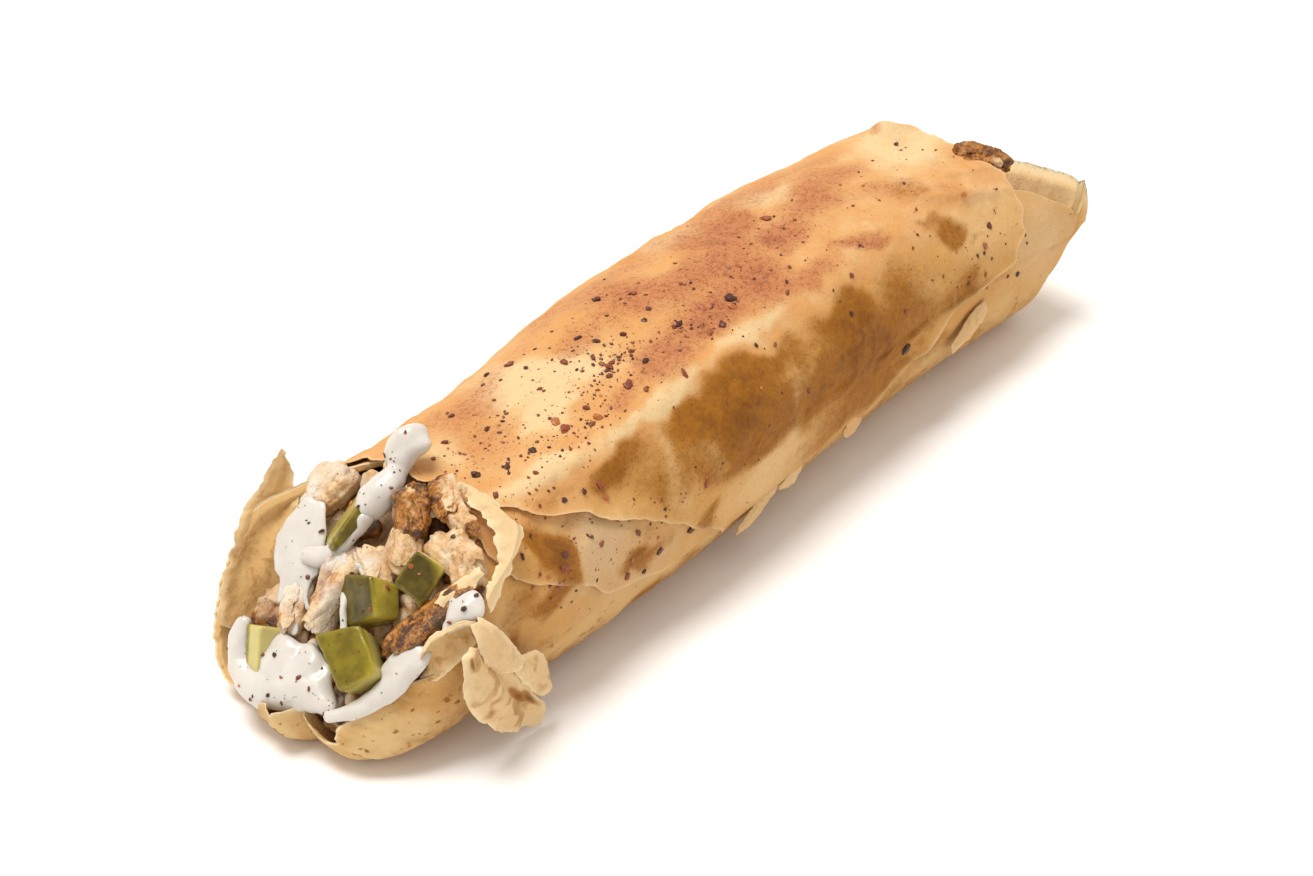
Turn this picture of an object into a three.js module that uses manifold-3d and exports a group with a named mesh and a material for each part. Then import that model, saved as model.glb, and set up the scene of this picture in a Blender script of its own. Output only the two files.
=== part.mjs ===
// A doner wrap: thin flatbread rolled round shaved chicken, pickles and garlic sauce, on its flat underside.
// The torn, open end is at -X and the folded end at +X. -Y is the side with the loose edge of the roll.
// Lengths are in millimetres and +Z is up. Angles go round the roll in degrees: 0 is the -Y side, 90 the top,
// 180 the +Y side and 270 the underside.

import * as THREE from "three";
import { mergeVertices } from "three/addons/utils/BufferGeometryUtils.js";
import Module from "manifold-3d";

// Driving dimensions
const ROLL_WIDTH = 56;
const ROLL_HEIGHT = 45;
const CORNER_POWER = 2.5; // 2 is an ellipse, more is boxier
const FLAT_DEPTH = 1.2; // how much of the underside is pressed flat
const SHEET = 0.9; // one layer of flatbread
const WALL = 2.4; // all the layers of the roll together
const GAP = 0.35; // clearance between separate pieces
const BREAD_GAP = 0.75; // clearance kept from the flatbread
const FINENESS = 0.16; // detail smaller than this is left out
const ORIGIN_SHIFT = [-10.2, 0.4, 0]; // moves the modelled roll so that its box is centred over the origin
const SLOPE_OFFSET = -102; // the filling's open face lies along x - z = this
const RIDGE = { angle: 52, spread: 14, rise: 0.05 };

// Stations along the roll: [x, share of the width], [x, share of the height] and [x, y of the middle]
const WIDTH_ALONG = [
  [-105, 0.97], [-85, 0.96], [-60, 0.93], [-35, 0.93], [5, 0.99], [45, 0.965], [80, 0.93],
  [112, 0.88], [122, 0.88],
];
const HEIGHT_ALONG = [
  [-105, 0.91], [-85, 0.93], [-60, 0.91], [-35, 0.94], [5, 1.0], [45, 0.98], [80, 0.935], [112, 0.87],
  [122, 0.84],
];
const MIDDLE_ALONG = [
  [-105, 2.5], [-85, 1], [-60, -1], [-35, -1.5], [5, 0.8], [45, 3], [80, 2.8], [112, 1], [122, 0.2],
];

// Shallow dents and swellings: [x, angle, length, spread in degrees, rise]
const SWELLINGS = [
  [-30, 30, 16, 16, -1.6],
  [4, 28, 20, 18, 0.9],
  [38, 24, 14, 18, 0.8],
  [22, 8, 10, 16, -1.0],
  [-36, 100, 16, 24, -1.0],
  [-8, 120, 22, 26, 0.8],
  [34, 112, 14, 22, -0.8],
  [64, 96, 16, 26, 0.7],
  [77, 122, 11, 20, -1.1],
  [88, 40, 12, 20, -1.2],
  [-52, 18, 9, 12, 1.1],
  [-40, 200, 22, 26, -0.9],
  [30, 190, 26, 26, 0.8],
  [90, 104, 15, 22, -1.1],
  [96, 117, 4.6, 9, 3.0],
];

// The torn edge at the open end, and how far each stretch is drawn in: [angle, x], [angle, share drawn in]
const TORN_EDGE = [
  [-28, -92], [-14, -87], [-7, -84.5], [0, -81.5], [5, -77], [14, -73], [24, -70], [37, -67],
  [45, -65.5], [52, -64],
  [62, -60.5], [76, -58], [90, -57], [112, -58], [124, -57.5], [133, -59], [142, -65], [150, -75],
  [160, -80.5], [180, -85.5], [200, -89.5], [215, -92], [228, -93], [240, -95], [250, -97.5], [272, -98.5],
  [280, -96.5], [286, -93], [294, -95.5], [310, -95.5], [322, -94.5],
];
const DRAWN_IN = [
  [-28, 0.38], [-14, 0.31], [-7, 0.24], [0, 0.1], [6, 0.02], [20, 0], [90, 0], [124, 0], [139, -0.04],
  [152, -0.08], [165, -0.02], [185, 0], [205, 0], [222, 0.04], [236, 0.32], [255, 0.5], [275, 0.5], [295, 0.48],
  [318, 0.42],
];
const MOUTH_CURL = 14;
const LOBE_CREASE = { angle: 286, spread: 7, depth: 0.2 };
// Notches torn in that edge: [angle, spread in degrees, depth],
// and the share of the body's length that a millimetre takes
const NOTCHES = [[308, 9, 5], [96, 4, 1.6]];
const NOTCH_WAY = 0.008;

// The folded end: its sides and underside turn up into an end wall, and the top stops short of it.
const END_EDGE = [
  [-20, 119], [0, 120], [6, 120.5], [11, 119], [19, 114.5], [26, 110], [34, 105.5], [41, 100],
  [48, 97.5], [64, 95],
  [80, 94], [130, 93], [150, 94], [162, 100], [174, 109], [190, 116], [250, 119], [300, 119], [340, 117],
];
const END_CLOSED = [
  [-20, 1], [-9, 0.85], [-1, 0.4], [6, 0], [52, 0], [145, 0], [165, 0.4], [190, 1], [270, 1], [340, 1],
];
const END_WALL = { halfWidth: 20.5, middle: -3, curl: 13, leanReach: 12 };
// The height of the end wall's top edge, from -1 on the far side to 1 on the near side
const END_WALL_TOP = [
  [-1, 19], [-0.73, 22], [-0.39, 25], [-0.15, 27.3], [0.04, 29], [0.48, 30.6], [0.88, 32], [1, 30.4],
];
// How far the end wall leans out as it rises, by angle
const END_LEAN = [[-60, 0.35], [-20, 0.2], [0, 0.08], [16, 0], [150, 0], [200, 0.3], [270, 0.4]];

// The outermost turn of the sheet, then the turn below it: [angle, x] along its near and far edges
const OUTER_NEAR = [
  [-24, -4.5], [-20, -6.8], [-15, -8.8], [-11, -11.2], [-6, -15.2], [-2, -17.6], [4, -21.6], [10, -26.4],
  [16, -30.4], [20, -34.4], [29, -40], [33, -42.4], [39, -49], [42, -51], [50, -54.4], [57, -58.8], [62, -60.5],
  [90, -61], [112, -59], [150, -60], [200, -57], [236, -52],
];
const OUTER_FAR = [
  [-24, 42], [-12, 52], [-7, 57], [-5, 60.8], [-1, 66], [3, 71], [5.5, 80], [8, 91], [15, 94], [20, 97],
  [40, 100], [60, 99.8], [85, 100.6], [105, 102], [124, 101], [134, 97], [150, 91], [236, 91],
];
const OUTER_SPAN = [-22, 234];
const MIDDLE_NEAR = [
  [-24, -17], [-20, -24], [-16, -29], [-12, -34.5], [-8, -40], [3, -45], [10, -49.6], [15, -54.4], [20, -58.4],
  [28, -62.5], [45, -64], [60, -61],
];
const MIDDLE_SPAN = [-22, 60];
const MIDDLE_TUCK = 12; // how far the middle turn reaches below the outer one
const wasm = await Module();
wasm.setup();

const DEGREE = Math.PI / 180;
const clamp01 = (value) => Math.min(1, Math.max(0, value));
const mix = (a, b, share) => a + (b - a) * share;
const bell = (distance) => Math.exp(-distance * distance);
const vector = (list) => new THREE.Vector3(...list);
const OPEN_FACE = vector([-0.7, -0.12, 0.7]).normalize(); // the way the open face looks

function smoothStep(low, high, value) {
  const t = clamp01((value - low) / (high - low));
  return t * t * (3 - 2 * t);
}

// A smooth curve through stations [position, value], level beyond its ends.
function along(stations, position) {
  const last = stations.length - 1;
  if (position <= stations[0][0]) return stations[0][1];
  if (position >= stations[last][0]) return stations[last][1];
  let i = 0;
  while (position > stations[i + 1][0]) i++;
  const slope = (k) => {
    const before = stations[Math.max(0, k - 1)];
    const after = stations[Math.min(last, k + 1)];
    return (after[1] - before[1]) / (after[0] - before[0]);
  };
  const span = stations[i + 1][0] - stations[i][0];
  const t = (position - stations[i][0]) / span;
  const t2 = t * t;
  const t3 = t2 * t;
  return (
    (2 * t3 - 3 * t2 + 1) * stations[i][1] +
    (t3 - 2 * t2 + t) * span * slope(i) +
    (3 * t2 - 2 * t3) * stations[i + 1][1] +
    (t3 - t2) * span * slope(i + 1)
  );
}

// Stations by angle, read round the whole circle.
function around(stations, angle) {
  const first = stations[0][0];
  const turned = ((((angle - first) % 360) + 360) % 360) + first;
  const closed = [...stations, [first + 360, stations[0][1]]];
  return along(closed, turned);
}

// A smooth irregular wave between -1 and 1.
function ripple(x, y, z, scale, seed) {
  const [a, b, c] = [x / scale, y / scale, z / scale];
  return (
    (Math.sin(1.7 * a + 1.3 * seed + 0.9 * Math.sin(1.3 * b + seed)) +
      Math.sin(1.9 * b + 2.1 * seed + 1.1 * Math.sin(1.6 * c + 2 * seed)) +
      Math.sin(2.3 * c + 0.7 * seed + 0.8 * Math.sin(1.9 * a + 3 * seed))) /
    3
  );
}

// The wavy, torn line of an edge: an offset in millimetres for each angle.
function jag(angle, seed) {
  const a = angle * DEGREE;
  return 0.5 * Math.sin(9 * a + seed) + 0.4 * Math.sin(17 * a + 2.3 * seed);
}

// The roll's middle, as [y, z], at x.
function middleAt(x) {
  const height = ROLL_HEIGHT * along(HEIGHT_ALONG, x) + FLAT_DEPTH;
  return [along(MIDDLE_ALONG, x), height / 2 - FLAT_DEPTH];
}

// A point on the roll, lifted off its surface by so many millimetres.
function rollPoint(x, angle, lift) {
  const phi = angle * DEGREE;
  const halfWidth = (ROLL_WIDTH / 2) * along(WIDTH_ALONG, x) + lift;
  const halfHeight = (ROLL_HEIGHT * along(HEIGHT_ALONG, x) + FLAT_DEPTH) / 2 + lift;
  const c = Math.cos(phi);
  const s = Math.sin(phi);
  const power = CORNER_POWER;
  let r = (Math.abs(c / halfWidth) ** power + Math.abs(s / halfHeight) ** power) ** (-1 / power);
  const turn = (from) => ((((angle - from + 180) % 360) + 360) % 360) - 180;
  r *= 1 + RIDGE.rise * bell(turn(RIDGE.angle) / RIDGE.spread);
  for (const [sx, sAngle, length, spread, rise] of SWELLINGS)
    r += rise * bell((x - sx) / length) * bell(turn(sAngle) / spread);
  const [y, z] = middleAt(x);
  return vector([x, y - r * c, Math.max(z + r * s, Math.max(0, -lift - SHEET))]);
}

// The inner turns lie a sheet lower where the outer turns cover them.
function bodyLift(angle) {
  const turned = (((angle + 60) % 360) + 360) % 360 - 60;
  return -SHEET * 1.3 * (smoothStep(-34, -14, turned) - smoothStep(205, 236, turned));
}

// A point on the body of the roll. way runs from 0 at the torn edge to 1 at the folded end.
const MOUTH_SHARE = 0.16;
const END_SHARE = 0.84;
function bodyPoint(way, angle, depth, grow = 0) {
  const lift = bodyLift(angle) - depth;
  const nearEdge = around(TORN_EDGE, angle) + jag(angle, 1.7) * (depth > 0 ? 0.5 : 1) + depth * 0.3 - grow;
  const farEdge = around(END_EDGE, angle) - depth * 0.8 + grow;
  const mouthStart = nearEdge + MOUTH_CURL;
  const lean = around(END_LEAN, angle);
  const curl = END_WALL.curl + END_WALL.leanReach * lean;
  const endStart = farEdge - curl;
  if (way < MOUTH_SHARE) {
    const turn = (from) => ((((angle - from + 180) % 360) + 360) % 360) - 180;
    const torn = NOTCHES.reduce((sum, [at, spread, deep]) => sum + deep * bell(turn(at) / spread), 0);
    const kept = mix(torn * NOTCH_WAY, MOUTH_SHARE, way / MOUTH_SHARE);
    const theta = (1 - kept / MOUTH_SHARE) * 0.5 * Math.PI;
    const crease = bell((angle - LOBE_CREASE.angle) / LOBE_CREASE.spread) * LOBE_CREASE.depth;
    const drawn = around(DRAWN_IN, angle) + crease;
    const x = mouthStart - MOUTH_CURL * Math.sin(theta) ** (1 - 0.7 * Math.max(0, drawn));
    const point = rollPoint(x, angle, lift);
    const [y, z] = middleAt(x);
    const share = 1 - drawn * (1 - Math.cos(theta));
    return vector([x, mix(y, point.y, share), mix(z, point.z, share)]);
  }
  if (way > END_SHARE) {
    const theta = ((way - END_SHARE) / (1 - END_SHARE)) * 0.5 * Math.PI;
    const folded = (1 - Math.cos(theta)) ** 1.25;
    const x = Math.min(endStart + curl * mix(Math.sin(theta) ** 0.78, folded, lean), farEdge);
    const point = rollPoint(x, angle, lift);
    const closed = around(END_CLOSED, angle) * folded;
    const c = Math.cos(angle * DEGREE);
    const wallY = END_WALL.middle - END_WALL.halfWidth * c;
    const wallZ = along(END_WALL_TOP, c) - depth * 0.5;
    return vector([x, mix(point.y, wallY, closed), mix(point.z, wallZ, closed)]);
  }
  const share = (way - MOUTH_SHARE) / (END_SHARE - MOUTH_SHARE);
  return rollPoint(mix(mouthStart, endStart, share), angle, lift);
}
// Solids from points

function solidFrom(points, triangles) {
  const vertProperties = new Float32Array(points.flatMap((p) => [p.x, p.y, p.z]));
  const mesh = new wasm.Mesh({ numProp: 3, vertProperties, triVerts: new Uint32Array(triangles.flat()) });
  return new wasm.Manifold(mesh);
}

// Rings of points joined one to the next. A tube closes on its first ring, otherwise both ends get a flat fan.
function solidOfRings(rings, closesOnItself) {
  const count = rings[0].length;
  const points = rings.flat();
  const triangles = [];
  const at = (i, j) => (i % rings.length) * count + (j % count);
  const lastRow = closesOnItself ? rings.length : rings.length - 1;
  for (let i = 0; i < lastRow; i++)
    for (let j = 0; j < count; j++) {
      triangles.push([at(i, j), at(i + 1, j), at(i + 1, j + 1)]);
      triangles.push([at(i, j), at(i + 1, j + 1), at(i, j + 1)]);
    }
  if (!closesOnItself)
    for (const [row, flip] of [[0, false], [rings.length - 1, true]]) {
      const middle = new THREE.Vector3();
      for (const p of rings[row]) middle.addScaledVector(p, 1 / count);
      points.push(middle);
      for (let j = 0; j < count; j++) {
        const pair = flip ? [at(row, j + 1), at(row, j)] : [at(row, j), at(row, j + 1)];
        triangles.push([points.length - 1, ...pair]);
      }
    }
  return solidFrom(points, triangles);
}

// A thin sheet: a grid of points for its upper face and one for its lower face, split alike,
// with walls between.
function thinSolid(upper, lower) {
  const rows = upper.length;
  const columns = upper[0].length;
  const points = [...upper.flat(), ...lower.flat()];
  const top = (i, j) => i * columns + j;
  const under = (i, j) => rows * columns + i * columns + j;
  const triangles = [];
  for (let i = 0; i < rows - 1; i++)
    for (let j = 0; j < columns - 1; j++) {
      triangles.push([top(i, j), top(i + 1, j), top(i + 1, j + 1)]);
      triangles.push([top(i, j), top(i + 1, j + 1), top(i, j + 1)]);
      triangles.push([under(i, j), under(i + 1, j + 1), under(i + 1, j)]);
      triangles.push([under(i, j), under(i, j + 1), under(i + 1, j + 1)]);
    }
  const border = [];
  for (let i = 0; i < rows - 1; i++) border.push([i, 0]);
  for (let j = 0; j < columns - 1; j++) border.push([rows - 1, j]);
  for (let i = rows - 1; i > 0; i--) border.push([i, columns - 1]);
  for (let j = columns - 1; j > 0; j--) border.push([0, j]);
  border.forEach(([i, j], k) => {
    const [ni, nj] = border[(k + 1) % border.length];
    triangles.push([top(i, j), under(i, j), under(ni, nj)], [top(i, j), under(ni, nj), top(ni, nj)]);
  });
  return solidFrom(points, triangles);
}

const grid = (rows, columns, pointAt) =>
  Array.from({ length: rows }, (_, i) =>
    Array.from({ length: columns }, (_, j) => pointAt(i / (rows - 1), j / (columns - 1))),
  );

// The flatbread

const RING_ANGLES = Array.from({ length: 42 }, (_, j) => -90 + (j * 360) / 42);
const BODY_WAYS = [
  ...[0, 0.04, 0.08, 0.12],
  ...Array.from({ length: 15 }, (_, i) => mix(MOUTH_SHARE, END_SHARE, i / 14)),
  ...[0.88, 0.92, 0.96, 1],
];
const INNER_WAYS = BODY_WAYS.filter((_, i) => i < 4 || i > 18 || i % 2 === 0);

function rollShell(grow) {
  const ring = (way, depth) => RING_ANGLES.map((angle) => bodyPoint(way, angle, depth, grow));
  const outside = BODY_WAYS.map((way) => ring(way, -grow));
  const inside = [...INNER_WAYS].reverse().map((way) => ring(way, WALL + grow));
  return solidOfRings([...outside, ...inside], true);
}

// A turn of the sheet laid on the roll between two edges.
function turnOfSheet(span, nearAt, farAt, liftTop, liftUnder, rows, columns) {
  const face = (lift) =>
    grid(rows, columns, (s, t) => {
      const angle = mix(span[0], span[1], t);
      return rollPoint(mix(nearAt(angle), farAt(angle), s), angle, lift(s, t));
    });
  return thinSolid(face(liftTop), face(liftUnder));
}

function outerTurn(grow) {
  const fade = (t) => 1 - smoothStep(0.86, 1, t);
  return turnOfSheet(
    OUTER_SPAN,
    (angle) => along(OUTER_NEAR, angle) + 0.8 * jag(angle, 0.6) - grow,
    (angle) => along(OUTER_FAR, angle) + 0.8 * jag(angle, 2.9) + grow,
    (s, t) => 0.1 * fade(t) - 0.5 * (1 - fade(t)) + grow,
    () => -SHEET * 2 - grow,
    20,
    20,
  );
}

function middleTurn(grow) {
  return turnOfSheet(
    MIDDLE_SPAN,
    (angle) => along(MIDDLE_NEAR, angle) + 0.7 * jag(angle, 5.1) - grow,
    (angle) => along(OUTER_NEAR, angle) + MIDDLE_TUCK,
    () => -SHEET * 0.55 + grow,
    () => -SHEET * 2 - grow,
    8,
    9,
  );
}

const TORN_THICKNESS = 1.3;
// A torn piece of the sheet between two edges, wavy and with a ragged outline.
function tornPiece({ left, right, seed }, grow) {
  const edges = [left, right].map((edge) => new THREE.CatmullRomCurve3(edge.map(vector)));
  const faceAt = (s, t, side) => {
    const [p, q] = edges.map((edge) => edge.getPoint(s));
    const over = q.clone().sub(p).normalize();
    const ahead = edges[0].getTangent(s).add(edges[1].getTangent(s)).normalize();
    const normal = new THREE.Vector3().crossVectors(over, ahead).normalize();
    normal.multiplyScalar(Math.sign(normal.dot(OPEN_FACE)) || 1);
    const ragged = 0.35 * ripple(s * 40, t * 9, seed, 1.6, seed) * (2 * t - 1);
    p.lerp(q, t).addScaledVector(over, ragged + mix(-grow, grow, t));
    p.addScaledVector(ahead, mix(-grow, grow, s));
    const wave = 0.35 * ripple(p.x, p.y, p.z, 3.2, seed);
    p.addScaledVector(normal, wave + side * (TORN_THICKNESS / 2 + grow));
    p.z = Math.max(p.z, 0.4);
    return p;
  };
  const faces = [1, -1].map((side) => grid(8, 4, (s, t) => faceAt(s, t, side)));
  return outward(thinSolid(...faces), () => thinSolid(faces[1], faces[0]));
}

// A solid whose faces point outward: the other one if they pointed in.
function outward(solid, other) {
  return solid.volume() > 0 ? solid : other();
}

// Torn pieces of the sheet at the open end, each spanned between two edges
const TORN_PIECES = {
  left_petal: {
    left: [
      [-89.4, 24.4, 13.6], [-88.2, 25.4, 17], [-85.2, 26.2, 22.8], [-81.4, 26.6, 29.8], [-76.6, 26.4, 34.9],
      [-73, 25.6, 38.9], [-71.4, 24.9, 41.4],
    ],
    right: [
      [-80.4, 17.6, 9.4], [-78.8, 17.8, 13.8], [-77.6, 18.6, 20], [-75.8, 19.2, 26], [-71.8, 19.8, 31.4],
      [-70.6, 21.8, 35.6], [-70, 23.6, 41],
    ],
    seed: 9,
  },
  ribbon: {
    left: [
      [-82.6, -19.6, 18.6], [-82.3, -21.8, 19], [-81.2, -23.4, 20], [-80, -24.7, 21.2], [-78.5, -25.4, 22.5],
      [-76.9, -26, 23.9], [-75.2, -27.2, 26],
    ],
    right: [
      [-82.6, -19.6, 22.4], [-82.8, -20.8, 25.2], [-81.8, -21.7, 27.9], [-80.2, -22.9, 30],
      [-78.3, -24.8, 31.2],
      [-76.5, -26.7, 31.5], [-75.1, -28.3, 30.4],
    ],
    seed: 3,
  },
  strip: {
    left: [[-76.6, -27.4, 30.8], [-77, -28.8, 27.9], [-76.6, -29.4, 25], [-76, -29.8, 22.6], [-74, -30, 20]],
    right: [[-75, -27.4, 31.8], [-72.6, -29, 29.2], [-70.4, -29.8, 25.6], [-67.8, -30, 21.2], [-66, -30, 17.6]],
    seed: 21,
  },
  hanging_flap: {
    left: [
      [-78.4, -28.4, 27.4], [-81.4, -29.2, 27.4], [-81.9, -29.8, 25.1], [-81.8, -30, 21.1], [-81, -30, 16.6],
      [-77.8, -30, 11.3], [-73.6, -29.8, 6.4],
    ],
    right: [
      [-76.2, -28.4, 26.2], [-73.9, -29, 22.4], [-70.3, -29.6, 18.9], [-66.8, -30, 14.2], [-63.3, -30, 8.9],
      [-61, -30, 3.6], [-62.2, -30, 0.8],
    ],
    seed: 5,
  },
  flap_lobe: {
    left: [[-69.6, -29.4, 19.4], [-68, -30, 15], [-65.6, -30, 11], [-62, -30, 7.8]],
    right: [[-66.6, -28.6, 18.6], [-61.8, -28.8, 17.4], [-59.4, -29.2, 13], [-59.4, -29.6, 8.6]],
    seed: 15,
  },
  lip: {
    left: [
      [-59.5, -9, 43], [-62.2, -14, 42.6], [-62.2, -17, 42.2], [-62.6, -20, 40.8], [-64.2, -22.6, 38.6],
      [-66.6, -23.6, 37], [-69.2, -24.6, 35.4], [-72, -25.6, 33],
    ],
    right: [
      [-58.8, -9.2, 43.4], [-59, -13.7, 43.2], [-59, -18.2, 42.2], [-58.8, -22.8, 39.6], [-61, -24.6, 37.4],
      [-64.2, -26.2, 35.2], [-68.8, -27, 33.2], [-72.6, -27, 30.8],
    ],
    seed: 7,
  },
  lip_strip: {
    left: [[-76.2, -18.4, 31.8], [-73.8, -19.6, 33.8], [-71.6, -20.8, 35.4], [-68.6, -22.6, 37]],
    right: [[-76, -20.6, 31.6], [-74.2, -22.2, 33], [-72.4, -23.6, 34.2], [-69, -24.6, 36]],
    seed: 33,
  },
};
// Large flakes of dried pepper on the crust: [x, angle, length across]
const FLAKES = [
  [-23, 121.5, 2.2], [-18, 98, 2], [-10, 99, 1.9], [-14, 80, 2.2], [-5, 87, 1.8], [1.2, 114.5, 2.6],
  [4.6, 72, 2],
  [-32.2, 73.5, 2.4], [-32.6, 67, 2.4], [-53.2, 75, 2.2], [-41.3, 67.7, 2.2], [-26.5, 61, 2.2],
  [-15.7, 64, 2.4],
  [12, 71.6, 2.4], [18.4, 66.6, 3], [10.6, 58.6, 2.2], [46.8, 97, 2.2], [92.4, 104, 2], [88.4, 30.3, 2],
];
function flake(x, angle, size, index) {
  const seat = rollPoint(x, angle, 0);
  const out = rollPoint(x, angle, 1).sub(seat).normalize();
  const geometry = new THREE.IcosahedronGeometry(1, 0);
  geometry.scale(size * 0.55, size * 0.38, size * 0.4);
  const turn = new THREE.Quaternion().setFromUnitVectors(vector([0, 0, 1]), out);
  const spin = new THREE.Quaternion().setFromAxisAngle(vector([0, 0, 1]), index * 1.9);
  geometry.applyQuaternion(turn.multiply(spin));
  geometry.translate(...seat.addScaledVector(out, 0.1).toArray());
  return solidOfGeometry(geometry);
}

function solidOfGeometry(geometry) {
  geometry.deleteAttribute("normal");
  geometry.deleteAttribute("uv");
  const merged = mergeVertices(geometry, 1e-4);
  const triVerts = new Uint32Array(merged.index.array);
  const vertProperties = new Float32Array(merged.attributes.position.array);
  return new wasm.Manifold(new wasm.Mesh({ numProp: 3, vertProperties, triVerts }));
}

// The whole flatbread, or with grow the room that the pieces beside it must leave free.
function flatbread(grow) {
  let bread = rollShell(grow).add(outerTurn(grow)).add(middleTurn(grow));
  for (const form of Object.values(TORN_PIECES)) bread = bread.add(tornPiece(form, grow));
  if (grow > 0) return bread;
  FLAKES.forEach(([x, angle, size], index) => {
    bread = bread.add(flake(x, angle, size, index));
  });
  return largestBody(bread);
}

function largestBody(solid) {
  const bodies = solid.decompose().sort((a, b) => b.volume() - a.volume());
  return bodies[0];
}

// The filling

// A lump of food from a to b: rounded, so wide and thick, turned about its length, curled and craggy.
function lump({ a, b, wide, thick, turn = 0, power = 2.6, curl = 0, crag = 0.25, seed = 1, detail = 2 }, grow = 0) {
  const start = vector(a);
  const end = vector(b);
  const ahead = end.clone().sub(start);
  const half = ahead.length() / 2 + grow;
  ahead.normalize();
  const side = new THREE.Vector3().crossVectors(OPEN_FACE, ahead).normalize().applyAxisAngle(ahead, turn * DEGREE);
  const face = new THREE.Vector3().crossVectors(ahead, side).normalize();
  const middle = start.add(end).multiplyScalar(0.5);
  const geometry = new THREE.IcosahedronGeometry(1, detail);
  const position = geometry.attributes.position;
  const size = [half, wide / 2 + grow, thick / 2 + grow];
  for (let i = 0; i < position.count; i++) {
    const d = [position.getX(i), position.getY(i), position.getZ(i)];
    const r = d.reduce((sum, v) => sum + Math.abs(v) ** power, 0) ** (-1 / power);
    const p = d.map((v, k) => v * r * size[k]);
    const bump = crag * ripple(p[0], p[1], p[2], 1.5, seed);
    const [u, v, w] = p.map((q, k) => q + bump * d[k]);
    const bent = curl * (u / half) ** 2;
    const point = middle.clone().addScaledVector(ahead, u).addScaledVector(side, v).addScaledVector(face, w - bent);
    position.setXYZ(i, point.x, point.y, Math.max(point.z, WALL + 0.6));
  }
  return solidOfGeometry(geometry);
}

// Pieces that show at the torn end, firmest first. Colours are the surface as seen.
const PICKLES = {
  pickle_large: { a: [-85, -5.4, 22.4], b: [-89.4, -12.6, 17.6], wide: 7.8, thick: 7, turn: 8, power: 5 },
  pickle_block: { a: [-77, -3.4, 29.4], b: [-81.4, -7.4, 24.2], wide: 8.4, thick: 7, turn: 32, power: 5 },
  pickle_diamond: { a: [-71.4, -13.6, 35.6], b: [-77.2, -12.3, 30.6], wide: 6, thick: 3.8, turn: -26, power: 5 },
  pickle_slice: { a: [-65.5, 5, 39.6], b: [-75.5, 8, 30], wide: 8, thick: 3.4, turn: 58, power: 4 },
  pickle_left: { a: [-88.5, 12.5, 18], b: [-92.8, 11.2, 10], wide: 4.6, thick: 4.6, turn: 20, power: 3.5 },
};
const MEATS = {
  meat_upright: { a: [-63, -2, 43], b: [-69.5, -6, 34.5], wide: 8.5, thick: 4.2, turn: 20, crag: 0.9, seed: 2 },
  meat_pale_upper: { a: [-67.5, -3, 36], b: [-73, -8, 30], wide: 8.5, thick: 5, turn: -20, crag: 0.5, seed: 3 },
  meat_curl_right: { a: [-66, -11.5, 38], b: [-70.5, -23, 34], wide: 8, thick: 3.8, curl: 1.6, crag: 0.7, seed: 4 },
  meat_under_edge: { a: [-61.5, -9, 40.5], b: [-65, -18, 37.5], wide: 6, thick: 4, turn: 15, crag: 0.6, seed: 5 },
  meat_curved_left: { a: [-73, 2, 32.5], b: [-86, 3.5, 19.5], wide: 7, thick: 6.4, curl: 1.5, crag: 0.8, seed: 6 },
  meat_pale_middle: { a: [-72.5, 0.5, 32], b: [-77.5, -6, 27], wide: 7.5, thick: 5, turn: 25, crag: 0.5, seed: 7 },
  meat_crusty_long: { a: [-69.5, -23.5, 33], b: [-84, -12, 20.5], wide: 7.5, thick: 5.2, turn: 10, crag: 0.9, seed: 8 },
  meat_left_strip: { a: [-79, 11, 25], b: [-87, 8.5, 16], wide: 4.6, thick: 4.2, turn: 40, crag: 0.5, seed: 9 },
  meat_top_grey: { a: [-59, -4, 42], b: [-64.5, -12, 40.5], wide: 6.5, thick: 3.5, turn: 5, crag: 0.7, seed: 10 },
  meat_back_left: { a: [-60.5, 17, 36.5], b: [-71, 18.5, 29], wide: 9, thick: 5.5, turn: -15, crag: 0.8, seed: 12 },
  meat_folded_end: { a: [98.4, -3, 40.2], b: [104.8, -13, 37.4], wide: 7.8, thick: 5.4, turn: 60, crag: 0.8, seed: 11 },
};
const SAUCES = {
  sauce_top: { a: [-54.8, 4.4, 46], b: [-62.5, 3.6, 41.8], wide: 6.4, thick: 4.6, curl: 0.8, seed: 1 },
  sauce_pickle: { a: [-63.5, 3.4, 41.6], b: [-72.5, 5.6, 34.4], wide: 6, thick: 3.6, curl: 0.5, seed: 2 },
  sauce_left: { a: [-71.5, 16.5, 33.5], b: [-83, 11, 22], wide: 9.5, thick: 3.8, curl: 1, crag: 0.5, seed: 3 },
  sauce_pool: { a: [-91, 17.5, 12.6], b: [-92, -6.5, 13], wide: 10.5, thick: 5, crag: 0.5, seed: 4 },
  sauce_drip: { a: [-93.6, -8, 11.6], b: [-82, -21, 24.2], wide: 4.4, thick: 3.8, curl: 0.6, seed: 5 },
  sauce_right: { a: [-78.4, -22.8, 28.8], b: [-73, -24.6, 33.8], wide: 5.6, thick: 3.8, seed: 6 },
};
// The packed filling inside the roll: it follows the wall, and its open face slopes back to the top.
function fillingCore() {
  const angles = RING_ANGLES.filter((_, j) => j % 2 === 0);
  const ring = (way) => angles.map((angle) => bodyPoint(way, angle, WALL + 1.1));
  const inside = solidOfRings(INNER_WAYS.map(ring), false);
  const block = solidOfGeometry(new THREE.BoxGeometry(400, 200, 400))
    .rotate([0, 45, 0])
    .translate([SLOPE_OFFSET + 4 + 200 * Math.SQRT2, 0, 0]);
  return inside.intersect(block);
}

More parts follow.
